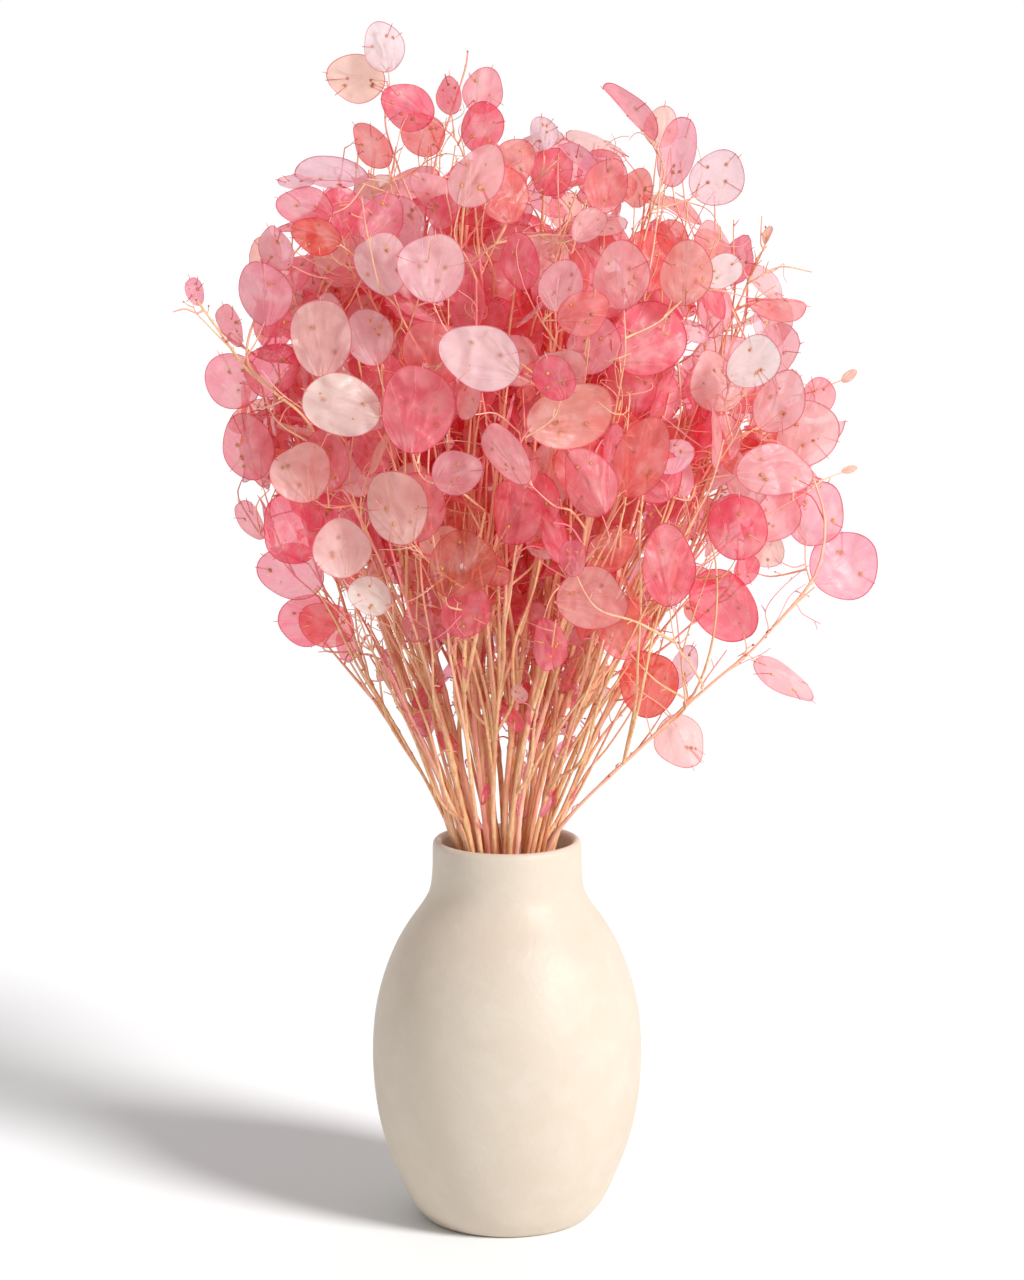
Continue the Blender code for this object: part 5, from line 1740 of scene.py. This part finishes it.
def addThreads(bunch, plants):
    # Fine tendrils from any wood that ends among the pods, most of them towards the front.
    tall = [path for path in bunch.paths if path["points"][-1][2] > threadLook["highEnough"]]
    for _ in range(threadLook["count"]):
        path = rng.choice(tall)
        k = rng.randrange(len(path["points"]) - 1)
        start = path["points"][k] + (path["points"][k + 1] - path["points"][k]) * rng.random()
        if start[2] < threadLook["lowest"] or (start[1] > threadLook["front"] and rng.random() < 0.5):
            continue
        out = unit(start - sight["domeCentre"])
        way = unit(unit(path["points"][k + 1] - path["points"][k]) + anyWay() * 0.8 + out * 0.35)
        curl = rng.uniform(*threadLook["curl" if rng.random() < threadLook["looseShare"] else "tightCurl"])
        length, tone = rng.uniform(*threadLook["lengths"]), rng.choice(threadLook["tones"])
        thread(plants[path["stem"]], start, way, length, curl, tone)


scrapPlan = {
    "count": 120,
    "heights": (214, 335),
    "lengths": (5, 12),
    "widths": (0.16, 0.36),  # against the length
    "dyes": ("rose", "pink", "bubblegum", "blush"),
    "veil": 0.85,
}


def addScraps(bunch, plants):
    # Torn strips of skin, caught on the stems under the pods.
    look = scrapPlan
    lowest, highest = look["heights"]
    mains = mainStems(bunch)
    for _ in range(look["count"]):
        path = rng.choice(mains)
        line = between(path["points"], 5)
        k = rng.choice([k for k in range(1, len(line) - 1) if lowest < line[k][2] < highest])
        way = unit(line[k + 1] - line[k])
        normal = turnedFrame(way, anyWay())[0]
        up = unit(way * rng.choice((-0.8, 1.0)) + anyWay() * 0.45)
        normal = turnedFrame(up, normal)[0]
        length = rng.uniform(*look["lengths"])
        centre = line[k] + normal * 1.2 + up * length * 0.4
        width = length * rng.uniform(*look["widths"])
        pod = {"centre": centre, "normal": normal, "up": up, "length": length, "width": width}
        plants[path["stem"]].addPod(pod, rng.choice(look["dyes"]))
        pod["bend"] = (rng.uniform(-1, 1), rng.uniform(0.3, 1.4), rng.uniform(-1.2, 1.2))
        pod["dye"] = (*pod["dye"][:3], look["veil"])


def lineObject(name, lines):
    points = np.vstack([line for line, _, _ in lines])
    edges, first = [], 0
    for line, _, _ in lines:
        edges += [(k, k + 1) for k in range(first, first + len(line) - 1)]
        first += len(line)
    girths = np.concatenate([girth for _, girth, _ in lines]) * mm
    tones = np.concatenate([tone for _, _, tone in lines])
    kept = {"girth": ("FLOAT", girths), "tone": ("FLOAT", tones)}
    return meshObject(name, points, edges=edges, attributes=kept)


def pointObject(name, items):
    kept = {
        "facing": ("FLOAT_VECTOR", [item["normal"] for item in items]),
        "upright": ("FLOAT_VECTOR", [item["up"] for item in items]),
        "size": ("FLOAT_VECTOR", [item["size"] for item in items]),
        "bend": ("FLOAT_VECTOR", [np.array(item.get("bend", (0, 0, 0))) * mm for item in items]),
        "own": ("FLOAT", [item.get("own", 0.0) for item in items]),
        "dye": ("FLOAT_COLOR", [item["dye"] for item in items]),
    }
    for k, label in enumerate(seedNames):
        kept[label] = ("FLOAT_VECTOR", [item.get("seeds", offThePod)[k] for item in items])
    return meshObject(name, [item["centre"] for item in items], attributes=kept)


def buildStem(number, plant):
    name = f"honestyStem{number + 1:02d}"
    parts = []
    kinds = (("wood", plant.thick), ("twigs", plant.twigs), ("threads", plant.threads))
    for (label, lines), sides in zip(kinds, growth["sides"]):
        if lines:
            source = lineObject(name + label, lines)
            parts.append(grown(source, grownWood, {"Sides": sides, "Bark": dyedStraw}))
    for pod in plant.pods:
        pod["size"] = (pod["width"] / 2 * mm, pod["length"] / 2 * mm, 1.0)
    for speck in plant.specks:
        speck["size"] = tuple(s * mm for s in speck["size"])
    wave = {"Outline wave": podBend["outlineWave"], "Ripple": podBend["ripple"]}
    for label, shape, fine in (("pods", podLens, False), ("roundPods", roundLens, True)):
        pods = [pod for pod in plant.pods if pod.get("fine", False) == fine]
        if pods:
            source = pointObject(name + label, pods)
            parts.append(grown(source, grownOnPoints, {"Shape": shape, "Skin": podSkin, **wave}))
    if plant.specks:
        source = pointObject(name + "seeds", plant.specks)
        still = {"Outline wave": 0.0, "Ripple": 0.0}
        parts.append(grown(source, grownOnPoints, {"Shape": seedBead, "Skin": seedHusk, **still}))
    return joined(name, parts)


cloudyPatches = cloudGroup()
podSkin, dyedStraw = podSkinMaterial(), strawMaterial()
seedHusk, creamStoneware = seedMaterial(), stonewareMaterial()
grownWood, grownOnPoints = woodTree(), podTree()
podLens, roundLens, seedBead = podShape("podLens", 18), podShape("roundLens", 42), seedShape()

plants = layOut()
podCount = sum(len(plant.pods) for plant in plants)
threadCount = sum(len(plant.threads) for plant in plants)
print("laid out:", podCount, "pods,", threadCount, "threads")
for number, plant in enumerate(plants):
    piece = buildStem(number, plant)
    node = f"stem_{number + 1:02d}"
    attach(piece, "root")
    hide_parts(node)
for shape in (podLens, roundLens, seedBead):
    bpy.data.objects.remove(shape)
print("stems built:", len(plants))


vaseLook = {
    "segments": 128,
    "height": 196.4,
    "wall": 4.7,
    "floor": 8.0,
    "mouth": 37.6,
    "foot": [(38.4, 0.0), (40.6, 0.25), (42.3, 1.1), (43.4, 2.1)],  # radius, height
    "lipRise": 3.4,
    "lipSteps": 8,
    "lipFrom": 190.0,  # the height where the lip's roll begins
    # height, radius
    "outline": [
        (3.0, 44.2), (10.0, 49.7), (22.0, 55.3), (42.0, 62.6), (62.0, 66.8), (86.0, 68.4), (108.0, 66.8),
        (126.0, 62.5), (141.0, 56.6), (152.0, 50.4), (162.0, 43.4), (170.0, 39.2), (180.0, 37.8),
        (191.0, 37.6),
    ],
}


def buildVase():
    look = vaseLook
    outer = curved([(radius, height, 0) for height, radius in look["outline"]], 4)[:, :2]
    slope = np.gradient(outer, axis=0)
    slope /= np.linalg.norm(slope, axis=1)[:, None]
    inner = outer + np.column_stack([-slope[:, 1], slope[:, 0]]) * look["wall"]
    inner = inner[(inner[:, 1] > look["floor"] + 6) & (outer[:, 1] < look["lipFrom"])][::-1]
    mouth, top, rise = look["mouth"], look["height"], look["lipRise"]
    half = look["wall"] / 2
    lip = []
    for k in range(look["lipSteps"] + 1):
        a = math.pi * k / look["lipSteps"]
        lip.append((mouth - half + half * math.cos(a), top - rise + rise * math.sin(a)))
    floor = [(inner[-1][0] - 4.5, look["floor"] + 1.6), (inner[-1][0] - 10.0, look["floor"])]
    profile = [*look["foot"], *outer, *lip, *inner, *floor]
    count = look["segments"]
    verts = [(0.0, 0.0, 0.0)]
    for radius, height in profile:
        for k in range(count):
            a = 2 * math.pi * k / count
            verts.append((radius * math.cos(a), radius * math.sin(a), height))
    verts.append((0.0, 0.0, look["floor"]))
    last = len(verts) - 1
    faces = []
    for k in range(count):
        after = (k + 1) % count
        faces.append((0, 1 + after, 1 + k))
        for ring in range(len(profile) - 1):
            a, b = 1 + ring * count + k, 1 + ring * count + after
            faces.append((a, b, b + count, a + count))
        faces.append((last - count + k, last - count + after, last))
    vase = meshObject("stonewareVase", verts, faces)
    vase.data.polygons.foreach_set("use_smooth", [True] * len(faces))
    vase.data.materials.append(creamStoneware)
    return vase


vase = buildVase()
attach(vase, "root")
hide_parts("vase")
print("vase built")


stageLook = {
    "floorHalf": 14.0,  # metres
    "floorWhite": 0.75,
    "floorSeen": 0.76,
    "sunFrom": (0.785, -0.62),  # where the light comes from, seen from above
    "sunHeight": 31.0,
    "sunSoftness": 17.0,
    "sunStrength": 3.0,
    "floorSunStrength": 1.9,  # more of the same light, on the floor only
    "skyStrength": 0.45,
    "skyBehind": 0.95,  # the lit backdrop, which shines through the pods
    "backdrop": 1.0,
    "cameraAt": (0.0025, -1.862, 0.6195),
    "cameraLooksAt": (0.0025, 0.0, 0.298),
    "lens": 106.28,
}


def buildStage():
    look = stageLook
    half = look["floorHalf"] / mm
    corners = [(-half, -half, 0), (half, -half, 0), (half, half, 0), (-half, half, 0)]
    floor = meshObject("paleFloor", corners, [(0, 1, 2, 3)])
    material, tree = newMaterial("paleFloor")
    isCamera = addNode(tree, "ShaderNodeLightPath").outputs["Is Camera Ray"]
    white = ramped(tree, isCamera, 0.0, 1.0, look["floorWhite"], look["floorSeen"])
    shader = addNode(tree, "ShaderNodeBsdfDiffuse", {"Color": white})
    output(tree, shader.outputs[0])
    floor.data.materials.append(material)

    high = math.radians(look["sunHeight"])
    way = Vector((*(c * math.cos(high) for c in look["sunFrom"]), math.sin(high)))
    for name, strength in (("softKey", look["sunStrength"]), ("floorKey", look["floorSunStrength"])):
        sun = bpy.data.lights.new(name, "SUN")
        sun.energy = strength
        sun.angle = math.radians(look["sunSoftness"])
        sunObject = bpy.data.objects.new(name, sun)
        sunObject.rotation_euler = way.to_track_quat("Z", "Y").to_euler()
        bpy.context.scene.collection.objects.link(sunObject)
    onlyFloor = bpy.data.collections.new("onlyFloor")
    onlyFloor.objects.link(floor)
    sunObject.light_linking.receiver_collection = onlyFloor

    world = bpy.data.worlds.new("studio")
    bpy.context.scene.world = world
    world.use_nodes = True
    tree = world.node_tree
    tree.nodes.clear()
    isCamera = addNode(tree, "ShaderNodeLightPath").outputs["Is Camera Ray"]
    way = addNode(tree, "ShaderNodeTexCoord").outputs["Generated"]
    behind = addNode(tree, "ShaderNodeSeparateXYZ", {0: way}).outputs[1]
    light = ramped(tree, behind, -0.1, 0.8, look["skyStrength"], look["skyBehind"])
    strength = ramped(tree, isCamera, 0.0, 1.0, light, look["backdrop"])
    sky = addNode(tree, "ShaderNodeBackground", {"Color": (1, 1, 1, 1), "Strength": strength})
    tree.links.new(sky.outputs[0], addNode(tree, "ShaderNodeOutputWorld").inputs["Surface"])

    camera = bpy.data.cameras.new("camera")
    camera.lens, camera.sensor_width = look["lens"], 36.0
    camera.clip_start, camera.clip_end = 0.05, 60.0
    cameraObject = bpy.data.objects.new("camera", camera)
    cameraObject.location = look["cameraAt"]
    gaze = Vector(look["cameraLooksAt"]) - Vector(look["cameraAt"])
    cameraObject.rotation_euler = gaze.to_track_quat("-Z", "Y").to_euler()
    bpy.context.scene.collection.objects.link(cameraObject)
    bpy.context.scene.camera = cameraObject
    bpy.context.scene.view_settings.view_transform = "Standard"
    bpy.context.scene.cycles.transparent_max_bounces = 40
    bpy.context.scene.cycles.diffuse_bounces = 6


buildStage()
print("stage built")
